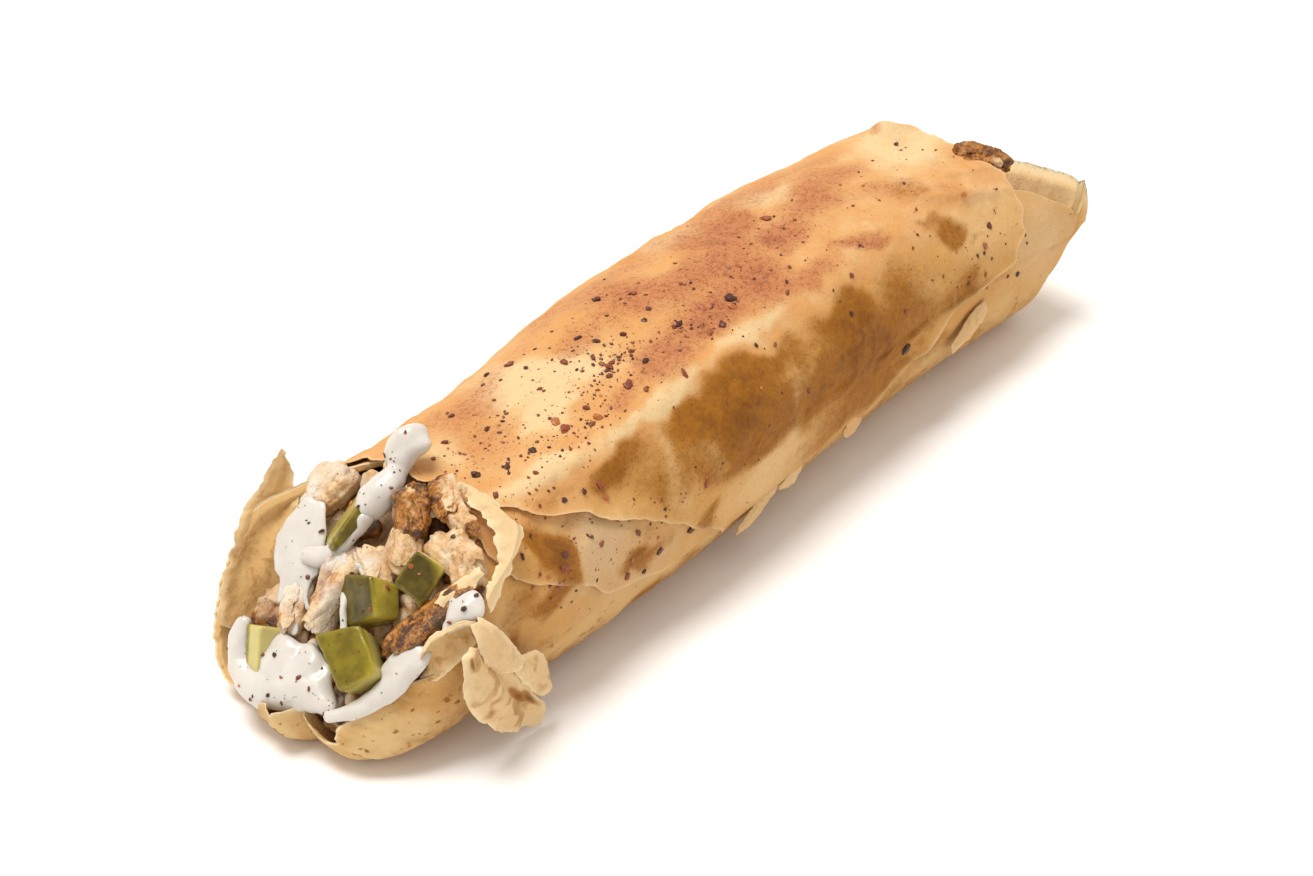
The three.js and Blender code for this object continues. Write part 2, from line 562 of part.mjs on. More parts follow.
// Shreds of meat fused to the core where it shows at either end: [x, y, z, radius]
const SHREDS = [
  [-70, 13, 30, 3.6], [-61, 10, 38, 3.2], [-66, -15, 34, 3.4], [-76, 3, 24, 3.6], [-75, -10, 25, 3.4],
  [-83, 8, 15.5, 3.4], [-82, -4, 17, 3.2], [-78, -17, 21, 3.2], [99, 6, 33, 3.6], [101, -2, 33, 3.6],
];

function shred([x, y, z, radius], index) {
  const reach = vector([radius * 0.9, radius * 0.5, -radius * 0.6]).applyAxisAngle(OPEN_FACE, index * 1.3);
  const at = vector([x, y, z]);
  const a = at.clone().add(reach).toArray();
  const b = at.clone().sub(reach).toArray();
  return lump({ a, b, wide: radius * 1.6, thick: radius * 1.3, crag: 0.7, seed: index + 20, detail: 1 });
}

// The model: every piece is cut clear of the ones before it.
const MATERIALS = {
  flatbread: new THREE.MeshStandardMaterial({ color: 0xdcae70, roughness: 0.78, metalness: 0 }),
  pickle: new THREE.MeshStandardMaterial({ color: 0x6f7a1e, roughness: 0.35, metalness: 0 }),
  chicken: new THREE.MeshStandardMaterial({ color: 0xc08a58, roughness: 0.7, metalness: 0 }),
  sauce: new THREE.MeshStandardMaterial({ color: 0xe9e6df, roughness: 0.3, metalness: 0 }),
};

function meshOf(solid, name, material) {
  const { numProp, numVert, vertProperties, triVerts } = largestBody(solid.simplify(FINENESS)).getMesh();
  const positions = new Float32Array(numVert * 3);
  for (let i = 0; i < numVert; i++) positions.set(vertProperties.subarray(i * numProp, i * numProp + 3), i * 3);
  const geometry = new THREE.BufferGeometry();
  geometry.setAttribute("position", new THREE.BufferAttribute(positions, 3));
  geometry.setIndex(new THREE.BufferAttribute(new Uint32Array(triVerts), 1));
  const mesh = new THREE.Mesh(geometry, material);
  mesh.name = name;
  return mesh;
}

const wrap = new THREE.Group();
wrap.position.set(...ORIGIN_SHIFT);
wrap.add(meshOf(flatbread(0), "flatbread", MATERIALS.flatbread));

let taken = flatbread(BREAD_GAP).add(flatbread(0));
for (const [group, material] of [[PICKLES, "pickle"], [MEATS, "chicken"], [SAUCES, "sauce"]])
  for (const [name, form] of Object.entries(group)) {
    wrap.add(meshOf(largestBody(lump(form).subtract(taken)), name, MATERIALS[material]));
    taken = taken.add(lump(form, GAP));
  }

let core = fillingCore();
SHREDS.forEach((place, index) => {
  core = core.add(shred(place, index));
});
wrap.add(meshOf(largestBody(core.subtract(taken)), "filling_core", MATERIALS.chicken));

export default wrap;
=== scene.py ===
"""A doner wrap: thin flatbread rolled round shaved chicken, diced pickles and white sauce.

Lengths are in millimetres in the roll's own coordinates: x runs from the torn open end (-x) to the folded
end, -y is the side with the loose edges of the roll, and z is up. Angles go round the roll in degrees: 0 is
the -y side, 90 the top, 180 the +y side, 270 the underside. Every piece is moved into the frame and scaled
to metres as it is made.
"""

import math

import bmesh
import bpy
import numpy as np
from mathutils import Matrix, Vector
from mathutils.bvhtree import BVHTree


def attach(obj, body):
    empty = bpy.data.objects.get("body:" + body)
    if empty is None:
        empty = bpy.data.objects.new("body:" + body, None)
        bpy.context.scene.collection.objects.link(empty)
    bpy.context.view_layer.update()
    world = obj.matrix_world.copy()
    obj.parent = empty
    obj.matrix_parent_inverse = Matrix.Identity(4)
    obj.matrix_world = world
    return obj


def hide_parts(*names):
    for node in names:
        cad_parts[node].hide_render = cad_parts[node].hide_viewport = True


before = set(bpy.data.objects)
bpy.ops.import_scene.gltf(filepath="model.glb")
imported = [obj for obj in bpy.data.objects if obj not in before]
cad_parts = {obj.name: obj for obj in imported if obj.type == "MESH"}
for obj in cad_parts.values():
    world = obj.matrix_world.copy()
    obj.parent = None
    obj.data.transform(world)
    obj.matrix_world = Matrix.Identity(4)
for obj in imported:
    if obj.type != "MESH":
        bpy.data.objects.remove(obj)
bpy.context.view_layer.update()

# Driving dimensions, the same as the solids have
ORIGIN_SHIFT = np.array([-10.2, 0.4, 0.0])
METRES = 0.001
# Millimetres round the roll that a degree takes
PER_DEGREE = 0.47
ROLL_WIDTH = 56.0
ROLL_HEIGHT = 45.0
CORNER_POWER = 2.5
FLAT_DEPTH = 1.2
SHEET = 0.9
RIDGE_ANGLE, RIDGE_SPREAD, RIDGE_RISE = 52, 14, 0.05
OPEN_FACE = np.array([-0.7, -0.12, 0.7])

WIDTH_ALONG = [
    (-105, 0.97), (-85, 0.96), (-60, 0.93), (-35, 0.93), (5, 0.99), (45, 0.965), (80, 0.93), (112, 0.88),
    (122, 0.88),
]
HEIGHT_ALONG = [
    (-105, 0.91), (-85, 0.93), (-60, 0.91), (-35, 0.94), (5, 1.0), (45, 0.98), (80, 0.935), (112, 0.87),
    (122, 0.84),
]
MIDDLE_ALONG = [
    (-105, 2.5), (-85, 1), (-60, -1), (-35, -1.5), (5, 0.8), (45, 3), (80, 2.8), (112, 1), (122, 0.2),
]
# Shallow dents and swellings: (x, angle, length, spread in degrees, rise)
SWELLINGS = [
    (-30, 30, 16, 16, -1.6), (4, 28, 20, 18, 0.9), (38, 24, 14, 18, 0.8), (22, 8, 10, 16, -1.0),
    (-36, 100, 16, 24, -1.0), (-8, 120, 22, 26, 0.8), (34, 112, 14, 22, -0.8), (64, 96, 16, 26, 0.7),
    (77, 122, 11, 20, -1.1), (88, 40, 12, 20, -1.2), (-52, 18, 9, 12, 1.1), (-40, 200, 22, 26, -0.9),
    (30, 190, 26, 26, 0.8), (90, 104, 15, 22, -1.1), (96, 117, 4.6, 9, 3.0),
]
# The torn edge at the open end, and how far each stretch of it is drawn in
TORN_EDGE = [
    (-28, -92), (-14, -87), (-7, -84.5), (0, -81.5), (5, -77), (14, -73), (24, -70), (37, -67),
    (45, -65.5), (52, -64), (62, -60.5), (76, -58), (90, -57), (112, -58), (124, -57.5), (133, -59),
    (142, -65), (150, -75), (160, -80.5), (180, -85.5), (200, -89.5), (215, -92), (228, -93), (240, -95),
    (250, -97.5), (272, -98.5), (280, -96.5), (286, -93), (294, -95.5), (310, -95.5), (322, -94.5),
]
DRAWN_IN = [
    (-28, 0.38), (-14, 0.31), (-7, 0.24), (0, 0.1), (6, 0.02), (20, 0), (90, 0), (124, 0), (139, -0.04),
    (152, -0.08), (165, -0.02), (185, 0), (205, 0), (222, 0.04), (236, 0.32), (255, 0.5), (275, 0.5),
    (295, 0.48), (318, 0.42),
]
MOUTH_CURL = 14
LOBE_CREASE_ANGLE, LOBE_CREASE_SPREAD, LOBE_CREASE_DEPTH = 286, 7, 0.2
# Notches torn in that edge: (angle, spread in degrees, depth), and the share of the body's length
# that a millimetre takes
NOTCHES = [(308, 9, 5.0), (302, 3, 1.6), (317, 3, 1.4), (268, 3, 1.3), (96, 4, 1.6), (168, 3, 1.2)]
NOTCH_WAY = 0.008
# The folded end, whose near side and underside turn up into an end wall
END_EDGE = [
    (-20, 119), (0, 120), (6, 120.5), (11, 119), (19, 114.5), (26, 110), (34, 105.5), (41, 100),
    (48, 97.5), (64, 95), (80, 94), (130, 93), (150, 94), (162, 100), (174, 109), (190, 116), (250, 119),
    (300, 119), (340, 117),
]
END_CLOSED = [
    (-20, 1), (-9, 0.85), (-1, 0.4), (6, 0), (52, 0), (145, 0), (165, 0.4), (190, 1), (270, 1), (340, 1),
]
END_HALF_WIDTH, END_MIDDLE, END_CURL = 20.5, -3, 13
# The shares of the body's length where the torn edge's curl ends and the folded end's curl begins
MOUTH_SHARE, END_SHARE = 0.16, 0.84
# How far the end wall leans out as it rises, by angle, and the length that adds to its curl
END_LEAN = [(-60, 0.35), (-20, 0.2), (0, 0.08), (16, 0), (150, 0), (200, 0.3), (270, 0.4)]
LEAN_REACH = 12
# The top of the end wall: (place across from -1 on the far side to 1 on the near side, z)
END_WALL_TOP = [
    (-1, 19), (-0.73, 22), (-0.39, 25), (-0.15, 27.3), (0.04, 29), (0.48, 30.6), (0.88, 32), (1, 30.4),
]
# The edges of the outermost turn of the sheet, and of the turn below it: (angle, x)
OUTER_NEAR = [
    (-24, -4.5), (-20, -6.8), (-15, -8.8), (-11, -11.2), (-6, -15.2), (-2, -17.6), (4, -21.6),
    (10, -26.4), (16, -30.4), (20, -34.4), (29, -40), (33, -42.4), (39, -49), (42, -51), (50, -54.4),
    (57, -58.8), (62, -60.5), (90, -61), (112, -59), (150, -60), (200, -57), (236, -52),
]
OUTER_FAR = [
    (-24, 42), (-12, 52), (-7, 57), (-5, 60.8), (-1, 66), (3, 71), (5.5, 80), (8, 91), (15, 94), (20, 97),
    (40, 100), (60, 99.8), (85, 100.6), (105, 102), (124, 101), (134, 97), (150, 91), (236, 91),
]
OUTER_SPAN = (-22, 234)
MIDDLE_NEAR = [
    (-24, -17), (-20, -24), (-16, -29), (-12, -34.5), (-8, -40), (3, -45), (10, -49.6), (15, -54.4),
    (20, -58.4), (28, -62.5), (45, -64), (60, -61),
]
MIDDLE_SPAN = (-22, 60)
MIDDLE_TUCK = 12
# How far the inner turn stops short of the outer ones at the open end: (angle, length)
INNER_BACK = [
    (0, 2.0), (20, 1.6), (60, 1.4), (90, 1.0), (124, 1.2), (134, 4), (142, 11), (160, 14), (190, 14),
    (240, 12), (280, 8), (290, 4), (312, 3.5), (330, 4),
]
TURN_THICKNESS = 0.5
INNER_TOP, INNER_UNDERSIDE = 1.45, 2.25
# Rows and columns of points on each sheet
BODY_COLUMNS, CORE_COLUMNS = 280, 190
OUTER_GRID, MIDDLE_GRID, INNER_GRID, TORN_GRID = (208, 214), (90, 130), (40, 230), (86, 56)
SLICE_ROWS, SLICE_COLUMNS = 46, 30
# Where each stretch of rows along the body starts, and how many it has
BODY_ROWS = [(0, 44), (MOUTH_SHARE, 44), (0.36, 34), (0.72, 18), (END_SHARE, 34), (1, 0)]
# The filling: how deep it lies in the roll, where its leaning open face meets z = 0, and its lowest point
CORE_DEPTH = 3.5
SLOPE = -102
WALL_TOP = 3.0


# Curves and noise


def along(stations, position):
    """A smooth curve through stations (position, value), level beyond its ends."""
    xs = np.array([s[0] for s in stations], float)
    ys = np.array([s[1] for s in stations], float)
    slopes = np.empty_like(ys)
    slopes[1:-1] = (ys[2:] - ys[:-2]) / (xs[2:] - xs[:-2])
    slopes[0] = (ys[1] - ys[0]) / (xs[1] - xs[0])
    slopes[-1] = (ys[-1] - ys[-2]) / (xs[-1] - xs[-2])
    p = np.clip(np.asarray(position, float), xs[0], xs[-1])
    i = np.clip(np.searchsorted(xs, p, side="right") - 1, 0, len(xs) - 2)
    span = xs[i + 1] - xs[i]
    t = (p - xs[i]) / span
    return (
        (2 * t**3 - 3 * t**2 + 1) * ys[i]
        + (t**3 - 2 * t**2 + t) * span * slopes[i]
        + (3 * t**2 - 2 * t**3) * ys[i + 1]
        + (t**3 - t**2) * span * slopes[i + 1]
    )


def around(stations, angle):
    """Stations by angle, read round the whole circle."""
    first = stations[0][0]
    closed = list(stations) + [(first + 360, stations[0][1])]
    return along(closed, (np.asarray(angle, float) - first) % 360 + first)


def smooth_step(low, high, value):
    t = np.clip((np.asarray(value, float) - low) / (high - low), 0, 1)
    return t * t * (3 - 2 * t)


def bell(distance):
    return np.exp(-np.square(distance))


def turn_from(angle, centre):
    """Degrees from centre to angle, from -180 to 180."""
    return (np.asarray(angle, float) - centre + 180) % 360 - 180


def mix(a, b, share):
    return a + (b - a) * share


def lattice(i, j, k, seed):
    """A fixed value from -1 to 1 for each point of a lattice."""
    h = (i * 73856093) ^ (j * 19349663) ^ (k * 83492791) ^ (seed * 374761393)
    h = ((h ^ (h >> 13)) * 1274126177) & 0xFFFFFFFF
    h = (h ^ (h >> 16)) & 0xFFFFFF
    return h / 0x7FFFFF - 1.0


def noise(points, scale, seed=0):
    """Smooth noise from -1 to 1 with features of about the given size."""
    q = np.asarray(points, float) / scale
    base = np.floor(q).astype(np.int64)
    f = q - base
    f = f * f * (3 - 2 * f)
    total = 0.0
    for dx in (0, 1):
        wx = f[..., 0] if dx else 1 - f[..., 0]
        for dy in (0, 1):
            wy = f[..., 1] if dy else 1 - f[..., 1]
            for dz in (0, 1):
                wz = f[..., 2] if dz else 1 - f[..., 2]
                total = total + wx * wy * wz * lattice(
                    base[..., 0] + dx, base[..., 1] + dy, base[..., 2] + dz, seed
                )
    return total


def tear(position, seed, size=1.0):
    """The ragged line of a torn edge: an offset in millimetres for each place along it."""
    p = np.asarray(position, float)
    line = np.stack([p, np.full_like(p, 3.1 * seed), np.full_like(p, 1.7 * seed)], -1)
    waves = 0.9 * noise(line, 4.5, seed) + 0.7 * noise(line, 1.9, seed + 1)
    return size * (waves + 0.4 * noise(line, 0.8, seed + 2))


# The roll's form


def middle_at(x):
    height = ROLL_HEIGHT * along(HEIGHT_ALONG, x) + FLAT_DEPTH
    return along(MIDDLE_ALONG, x), height / 2 - FLAT_DEPTH


def plain_point(x, angle, lift):
    """A point on the smooth roll, lifted off its surface by so many millimetres."""
    x, angle, lift = np.broadcast_arrays(
        np.asarray(x, float), np.asarray(angle, float), np.asarray(lift, float)
    )
    phi = np.radians(angle)
    half_width = ROLL_WIDTH / 2 * along(WIDTH_ALONG, x) + lift
    half_height = (ROLL_HEIGHT * along(HEIGHT_ALONG, x) + FLAT_DEPTH) / 2 + lift
    c, s = np.cos(phi), np.sin(phi)
    r = np.abs(c / half_width) ** CORNER_POWER + np.abs(s / half_height) ** CORNER_POWER
    r = r ** (-1 / CORNER_POWER)
    r = r * (1 + RIDGE_RISE * bell(turn_from(angle, RIDGE_ANGLE) / RIDGE_SPREAD))
    for sx, s_angle, length, spread, rise in SWELLINGS:
        r = r + rise * bell((x - sx) / length) * bell(turn_from(angle, s_angle) / spread)
    y, z = middle_at(x)
    floor = np.maximum(0.0, -lift - SHEET)
    return np.stack([x, y - r * c, np.maximum(z + r * s, floor)], -1)


# Creases pressed into the sheet: (x, angle) at both ends, half width in millimetres, height
CREASES = [
    ((70, 62), (100, 39), 1.5, 0.95), ((84, 64), (101, 54), 1.2, 0.6), ((-58, 58), (-34, 52), 2.2, 0.5),
    ((-34, 52), (30, 49), 2.4, 0.4), ((-21, 44), (-17, 6), 2.0, 0.5), ((18, 30), (22, -4), 2.2, 0.5),
    ((30, 44), (36, 6), 1.8, -0.45), ((-60, 34), (-46, 6), 1.8, 0.6), ((60, 30), (74, 2), 1.8, 0.5),
    ((10, 0), (40, -16), 2.0, 0.5), ((88, 118), (90, 66), 1.6, 0.8), ((93, 112), (97, 70), 1.3, -0.6),
    ((76, 92), (96, 76), 1.5, 0.5), ((-44, 30), (-24, -6), 1.8, 0.5), ((50, 60), (72, 40), 2.0, 0.4),
]
CREASE_SCALE = 0.45


def crease_height(x, angle):
    total = np.zeros(np.broadcast(x, angle).shape)
    for (xa, aa), (xb, ab), width, height in CREASES:
        px, py = x - xa, (angle - aa) * CREASE_SCALE
        dx, dy = xb - xa, (ab - aa) * CREASE_SCALE
        length = math.hypot(dx, dy)
        t = np.clip((px * dx + py * dy) / length**2, 0, 1)
        off = np.hypot(px - t * dx, py - t * dy)
        ends = smooth_step(0, 0.25, t) * smooth_step(0, 0.25, 1 - t)
        total = total + height * bell(off / width) * ends
    return total


def relief(x, angle):
    """Soft waves, blisters and creases of the baked sheet."""
    base = plain_point(x, angle, 0)
    waves = 0.55 * noise(base, 15, 3) + 0.34 * noise(base, 6.5, 5) + 0.12 * noise(base, 2.6, 7)
    blisters = 0.3 * smooth_step(0.35, 0.8, noise(base, 3.4, 11))
    turned = np.asarray(angle, float) % 360
    lower = smooth_step(200, 230, turned) * smooth_step(-40, -70, 270 - turned)
    return (waves + blisters) * (1 - 0.7 * lower) + crease_height(x, angle)


def roll_point(x, angle, lift):
    height = relief(np.asarray(x, float), np.asarray(angle, float))
    return plain_point(x, angle, np.asarray(lift, float) + height)


def body_lift(angle):
    """How far the body lies below the surface where the outer turn covers it."""
    turned = (np.asarray(angle, float) + 60) % 360 - 60
    return -SHEET * 1.3 * (smooth_step(-34, -14, turned) - smooth_step(205, 236, turned))


def body_point(way, angle, depth):
    """A point on the body of the roll. way runs from 0 at the torn edge to 1 at the folded end."""
    way, angle, depth = np.broadcast_arrays(
        np.asarray(way, float), np.asarray(angle, float), np.asarray(depth, float)
    )
    lift = body_lift(angle) - depth
    ragged = tear(angle * PER_DEGREE, 1, 0.8)
    notch = sum(deep * bell(turn_from(angle, at) / spread) for at, spread, deep in NOTCHES)
    cut = np.clip(notch * (1 + 0.35 * tear(angle * PER_DEGREE, 19)), 0, 8) * NOTCH_WAY
    way = np.where(way < MOUTH_SHARE, mix(cut, MOUTH_SHARE, way / MOUTH_SHARE), way)
    near_edge = around(TORN_EDGE, angle) + ragged + depth * 0.3
    far_edge = around(END_EDGE, angle) + 0.4 * tear(angle * 0.4, 5) - depth * 0.8
    mouth_start = near_edge + MOUTH_CURL
    lean = around(END_LEAN, angle)
    curl = END_CURL + LEAN_REACH * lean
    end_start = far_edge - curl
    near = way < MOUTH_SHARE
    far = way > END_SHARE
    theta_near = (1 - np.minimum(way, MOUTH_SHARE) / MOUTH_SHARE) * 0.5 * np.pi
    theta_far = (np.maximum(way, END_SHARE) - END_SHARE) / (1 - END_SHARE) * 0.5 * np.pi
    crease = bell((angle - LOBE_CREASE_ANGLE) / LOBE_CREASE_SPREAD) * LOBE_CREASE_DEPTH
    drawn = around(DRAWN_IN, angle) + crease
    x_near = mouth_start - MOUTH_CURL * np.sin(theta_near) ** (1 - 0.7 * np.maximum(0, drawn))
    folded = (1 - np.cos(theta_far)) ** 1.25
    x_far = np.minimum(end_start + curl * mix(np.sin(theta_far) ** 0.78, folded, lean), far_edge)
    share = (way - MOUTH_SHARE) / (END_SHARE - MOUTH_SHARE)
    x = np.where(near, x_near, np.where(far, x_far, mix(mouth_start, end_start, share)))
    point = roll_point(x, angle, lift)
    y, z = middle_at(x)
    keep = np.where(near, 1 - drawn * (1 - np.cos(theta_near)), 1.0)
    py = mix(y, point[..., 1], keep)
    pz = mix(z, point[..., 2], keep)
    closed = np.where(far, around(END_CLOSED, angle) * folded, 0.0)
    c = np.cos(np.radians(angle))
    wall_y = END_MIDDLE - END_HALF_WIDTH * c
    wall_z = along(END_WALL_TOP, c) - depth * 0.5
    return np.stack([point[..., 0], mix(py, wall_y, closed), mix(pz, wall_z, closed)], -1)


# Meshes


def make_object(name, points, faces, material, values=None, smooth=True):
    """A mesh object from points in the roll's millimetres, with a float per point for each named value."""
    points = (np.asarray(points, float).reshape(-1, 3) + ORIGIN_SHIFT) * METRES
    mesh = bpy.data.meshes.new(name)
    mesh.from_pydata(points.tolist(), [], faces if isinstance(faces, list) else faces.tolist())
    mesh.validate()
    for key, numbers in (values or {}).items():
        layer = mesh.attributes.new(key, "FLOAT", "POINT")
        layer.data.foreach_set("value", np.asarray(numbers, np.float32).reshape(-1))
    if smooth:
        mesh.shade_smooth()
    else:
        mesh.shade_flat()
    mesh.materials.append(material)
    piece = bpy.data.objects.new(name, mesh)
    bpy.context.scene.collection.objects.link(piece)
    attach(piece, "root")
    return piece


def grid_faces(rows, columns, start=0, flip=False, wrap=False):
    """Four-sided faces of a grid of points, closed round its columns with wrap."""
    i, j = np.meshgrid(np.arange(rows - 1), np.arange(columns if wrap else columns - 1), indexing="ij")
    k = (j + 1) % columns
    a, b = start + i * columns + j, start + i * columns + k
    c, d = start + (i + 1) * columns + k, start + (i + 1) * columns + j
    quads = np.stack([a, b, c, d] if flip else [a, d, c, b], -1)
    return quads.reshape(-1, 4)


def border_of(rows, columns):
    """The points on the border of a grid, in turn."""
    top = [(0, j) for j in range(columns - 1, 0, -1)]
    left = [(i, 0) for i in range(rows - 1)]
    bottom = [(rows - 1, j) for j in range(columns - 1)]
    right = [(i, columns - 1) for i in range(rows - 1, 0, -1)]
    return np.array([i * columns + j for i, j in left + bottom + right + top])


def thin_sheet(upper, lower):
    """Points and faces of a thin closed sheet between two grids of points of the same size."""
    rows, columns = upper.shape[:2]
    points = np.concatenate([upper.reshape(-1, 3), lower.reshape(-1, 3)])
    half = rows * columns
    border = border_of(rows, columns)
    after = np.roll(border, -1)
    walls = np.stack([border, border + half, after + half, after], -1)
    faces = np.concatenate([grid_faces(rows, columns), grid_faces(rows, columns, half, flip=True), walls])
    return points, faces


def dense_ends(count, power):
    """Shares from 0 to 1, closer together towards both ends."""
    t = np.linspace(-1, 1, count)
    return 0.5 + 0.5 * np.sign(t) * (1 - (1 - np.abs(t)) ** power)


# Colour maps of the crust. Patches: (x, angle, half length, half spread in degrees, strength)
BROWN_OUTER = [
    (-30.5, 39.5, 8.5, 8.5, 0.8), (-9, 37, 10, 11, 0.8), (1.5, 29, 11, 13, 1.0), (1, 14, 20, 12, 0.7),
    (9, 8, 10, 10, 0.8), (25, 11, 8, 11, 0.75), (15, 34, 9, 6, 0.6), (41, 14, 13.5, 23, 1.0),
    (45, 9, 8, 13, 0.7), (38, 31, 6, 10, 0.8), (73.5, 44, 3.4, 3, 0.45), (77, 39.5, 4, 3.2, 0.7),
    (80.5, 35, 4, 3.2, 0.75), (85, 28.5, 3.6, 3, 0.45), (75, 11, 8, 8, 0.5), (60, 34, 9, 9, 0.35),
    (77, 67, 9, 13, 0.4), (-12, -8, 5, 6, 0.6), (-22, 22, 8, 10, 0.45), (60, 10, 9, 11, 0.45),
    (-47, 45, 6, 4, 0.35), (10, 22, 34, 20, 0.15), (66, 20, 24, 16, 0.2), (30, -12, 26, 9, 0.5),
    (58, 22, 7, 10, 0.5), (53, -8, 9, 8, 0.5), (21, 27, 5, 4, 0.3), (-34, 172, 12, 14, 0.5),
    (-10, 196, 10, 12, 0.35), (16, 168, 16, 13, 0.6), (30, 186, 10, 12, 0.5), (52, 170, 12, 16, 0.6),
    (76, 184, 9, 14, 0.5), (78, 156, 8, 8, 0.35), (-48, 204, 8, 12, 0.4), (10, 222, 60, 8, 0.4),
    (48, 206, 12, 8, 0.4),
]
# Brown patches of the lower turns. The four long ones at angles -30 to -36 that run along the roll are
# painted shade, darkening the lower side of the body towards the floor; the rest are browning.
BROWN_LOWER = [
    (-52.5, 22, 3.6, 18, 1.0), (-51, 26, 2.4, 7, 0.9), (-30, -2, 6, 8, 1.0), (-54.5, 6, 4, 6, 0.7),
    (-45, 32, 4, 6, 0.4), (65, -12, 8, 7, 0.6), (-62, 10, 5, 9, 0.5), (-64, -4, 3, 7, 0.7),
    (-56, -16, 8, 7, 0.4), (-82, -34, 16, 14, 0.6), (-50, -36, 30, 11, 0.7), (10, -34, 50, 10, 0.7),
    (80, -30, 40, 12, 0.45), (-88, 246, 14, 16, 0.5), (-84, 212, 16, 12, 0.4), (90, 4, 10, 9, 0.3),
    (-70, -26, 12, 8, 0.4),
]
RED_OUTER = [
    (5, 105, 9, 17, 0.8), (12, 66, 12, 13, 0.95), (27.5, 70, 7, 22, 0.9), (35, 106, 9, 16, 0.85),
    (44.5, 81, 7, 10, 1.0), (50.5, 57, 4.5, 4, 0.7), (54, 52.5, 4.6, 3.6, 0.8), (59, 49.5, 4, 3.4, 0.6),
    (-6, 65, 8, 12, 0.8), (43.5, 107, 4, 8, 0.7), (20, 92, 14, 11, 0.7), (-12, 104, 8, 11, 0.6),
    (-42, 92, 8, 10, 0.5), (60, 92, 9, 14, 0.7), (38, 55, 9, 6, 0.6), (-20, 62, 7, 5, 0.55),
    (72, 104, 9, 11, 0.6), (-40, 112, 10, 12, 0.5), (30, 86, 34, 24, 0.35), (-48, 78, 8, 10, 0.35),
    (75, 76, 8, 9, 0.5), (79.5, 61, 5, 6, 0.55), (84, 52, 5, 4, 0.45), (96, 118, 4, 6, 0.5),
    (50, 122, 22, 14, 0.55), (4, 128, 26, 12, 0.5), (-36, 124, 16, 9, 0.45), (78, 126, 10, 10, 0.4),
]
PALE_OUTER = [
    (-28, 112, 8, 18, 0.9), (-30.5, 84, 7, 12, 1.0), (-19.5, 91, 7, 14, 0.9), (-45, 56, 14, 5, 0.9),
    (-18, 50, 14, 4, 0.9), (9, -10, 14, 11, 0.9), (91, 100, 11, 25, 0.95), (90, 30, 12, 16, 0.6),
    (14, 49, 16, 4, 0.6), (-19, 22, 2.5, 17, 0.6), (18, 12, 3, 12, 0.5), (-9.5, 20, 2.4, 12, 0.5),
    (-36, 20, 5, 9, 0.5), (-52, 100, 6, 14, 0.4), (62, 24, 6, 16, 0.3), (56, 112, 7, 10, 0.6),
    (32, 124, 8, 8, 0.5), (-22, 160, 9, 10, 0.6), (-2, 176, 8, 14, 0.6), (38, 158, 8, 9, 0.6),
    (64, 190, 8, 14, 0.6), (2, 208, 20, 7, 0.5),
]
PALE_LOWER = [
    (-42, 16, 7, 17, 0.5), (-30, -22, 30, 9, 0.4), (-70, -25, 18, 12, 0.5), (20, -26, 26, 10, 0.5),
    (104, 12, 12, 24, 0.6), (-80, 180, 14, 30, 0.4), (-66, 8, 5, 12, 0.35),
]
GREY_LOWER = [
    (-41, 18, 11, 22, 1.0), (-30, -6, 12, 12, 0.7), (105, 10, 13, 22, 0.5),
]


def patch_value(patches, x, angle):
    """How strongly a place lies in any of the patches, from 0 to 1, with an irregular outline."""
    base = plain_point(x, angle, 0)
    x_warp = 2.6 * noise(base, 7, 31) + 1.3 * noise(base, 3, 32)
    a_warp = 5.5 * noise(base, 7, 33) + 2.6 * noise(base, 3, 34)
    clear = np.ones(np.broadcast(x, angle).shape)
    for px, pa, length, spread, strength in patches:
        distance = ((x + x_warp - px) / length) ** 2 + (turn_from(angle + a_warp, pa) / spread) ** 2
        clear = clear * (1 - strength * np.exp(-(distance**1.4)))
    return 1 - clear


def crust_values(x, angle, brown, red, pale):
    """The browning at each place, with painted shade where a brown map holds it: brown and red
    patches, pale ones, and the paler tone of both sides.
    """
    pale_share = patch_value(pale, x, angle)
    from_sides = np.abs(np.abs(turn_from(angle, 90)) - 125)
    return {
        "brown": patch_value(brown, x, angle) * (1 - 0.55 * pale_share),
        "red": patch_value(red, x, angle),
        "pale": pale_share,
        "side": (1 - smooth_step(62, 82, from_sides)) * np.ones(np.broadcast(x, angle).shape),
    }


# The flatbread


def body_rows():
    rows = [
        np.linspace(start, end, count, endpoint=end == 1)
        for (start, count), (end, _) in zip(BODY_ROWS, BODY_ROWS[1:])
    ]
    return np.concatenate(rows)


def mouth_back(angle):
    """How far the inner turn stops short of the outer one at the torn edge."""
    return around(INNER_BACK, angle) + 0.6 * tear(angle * PER_DEGREE, 41)


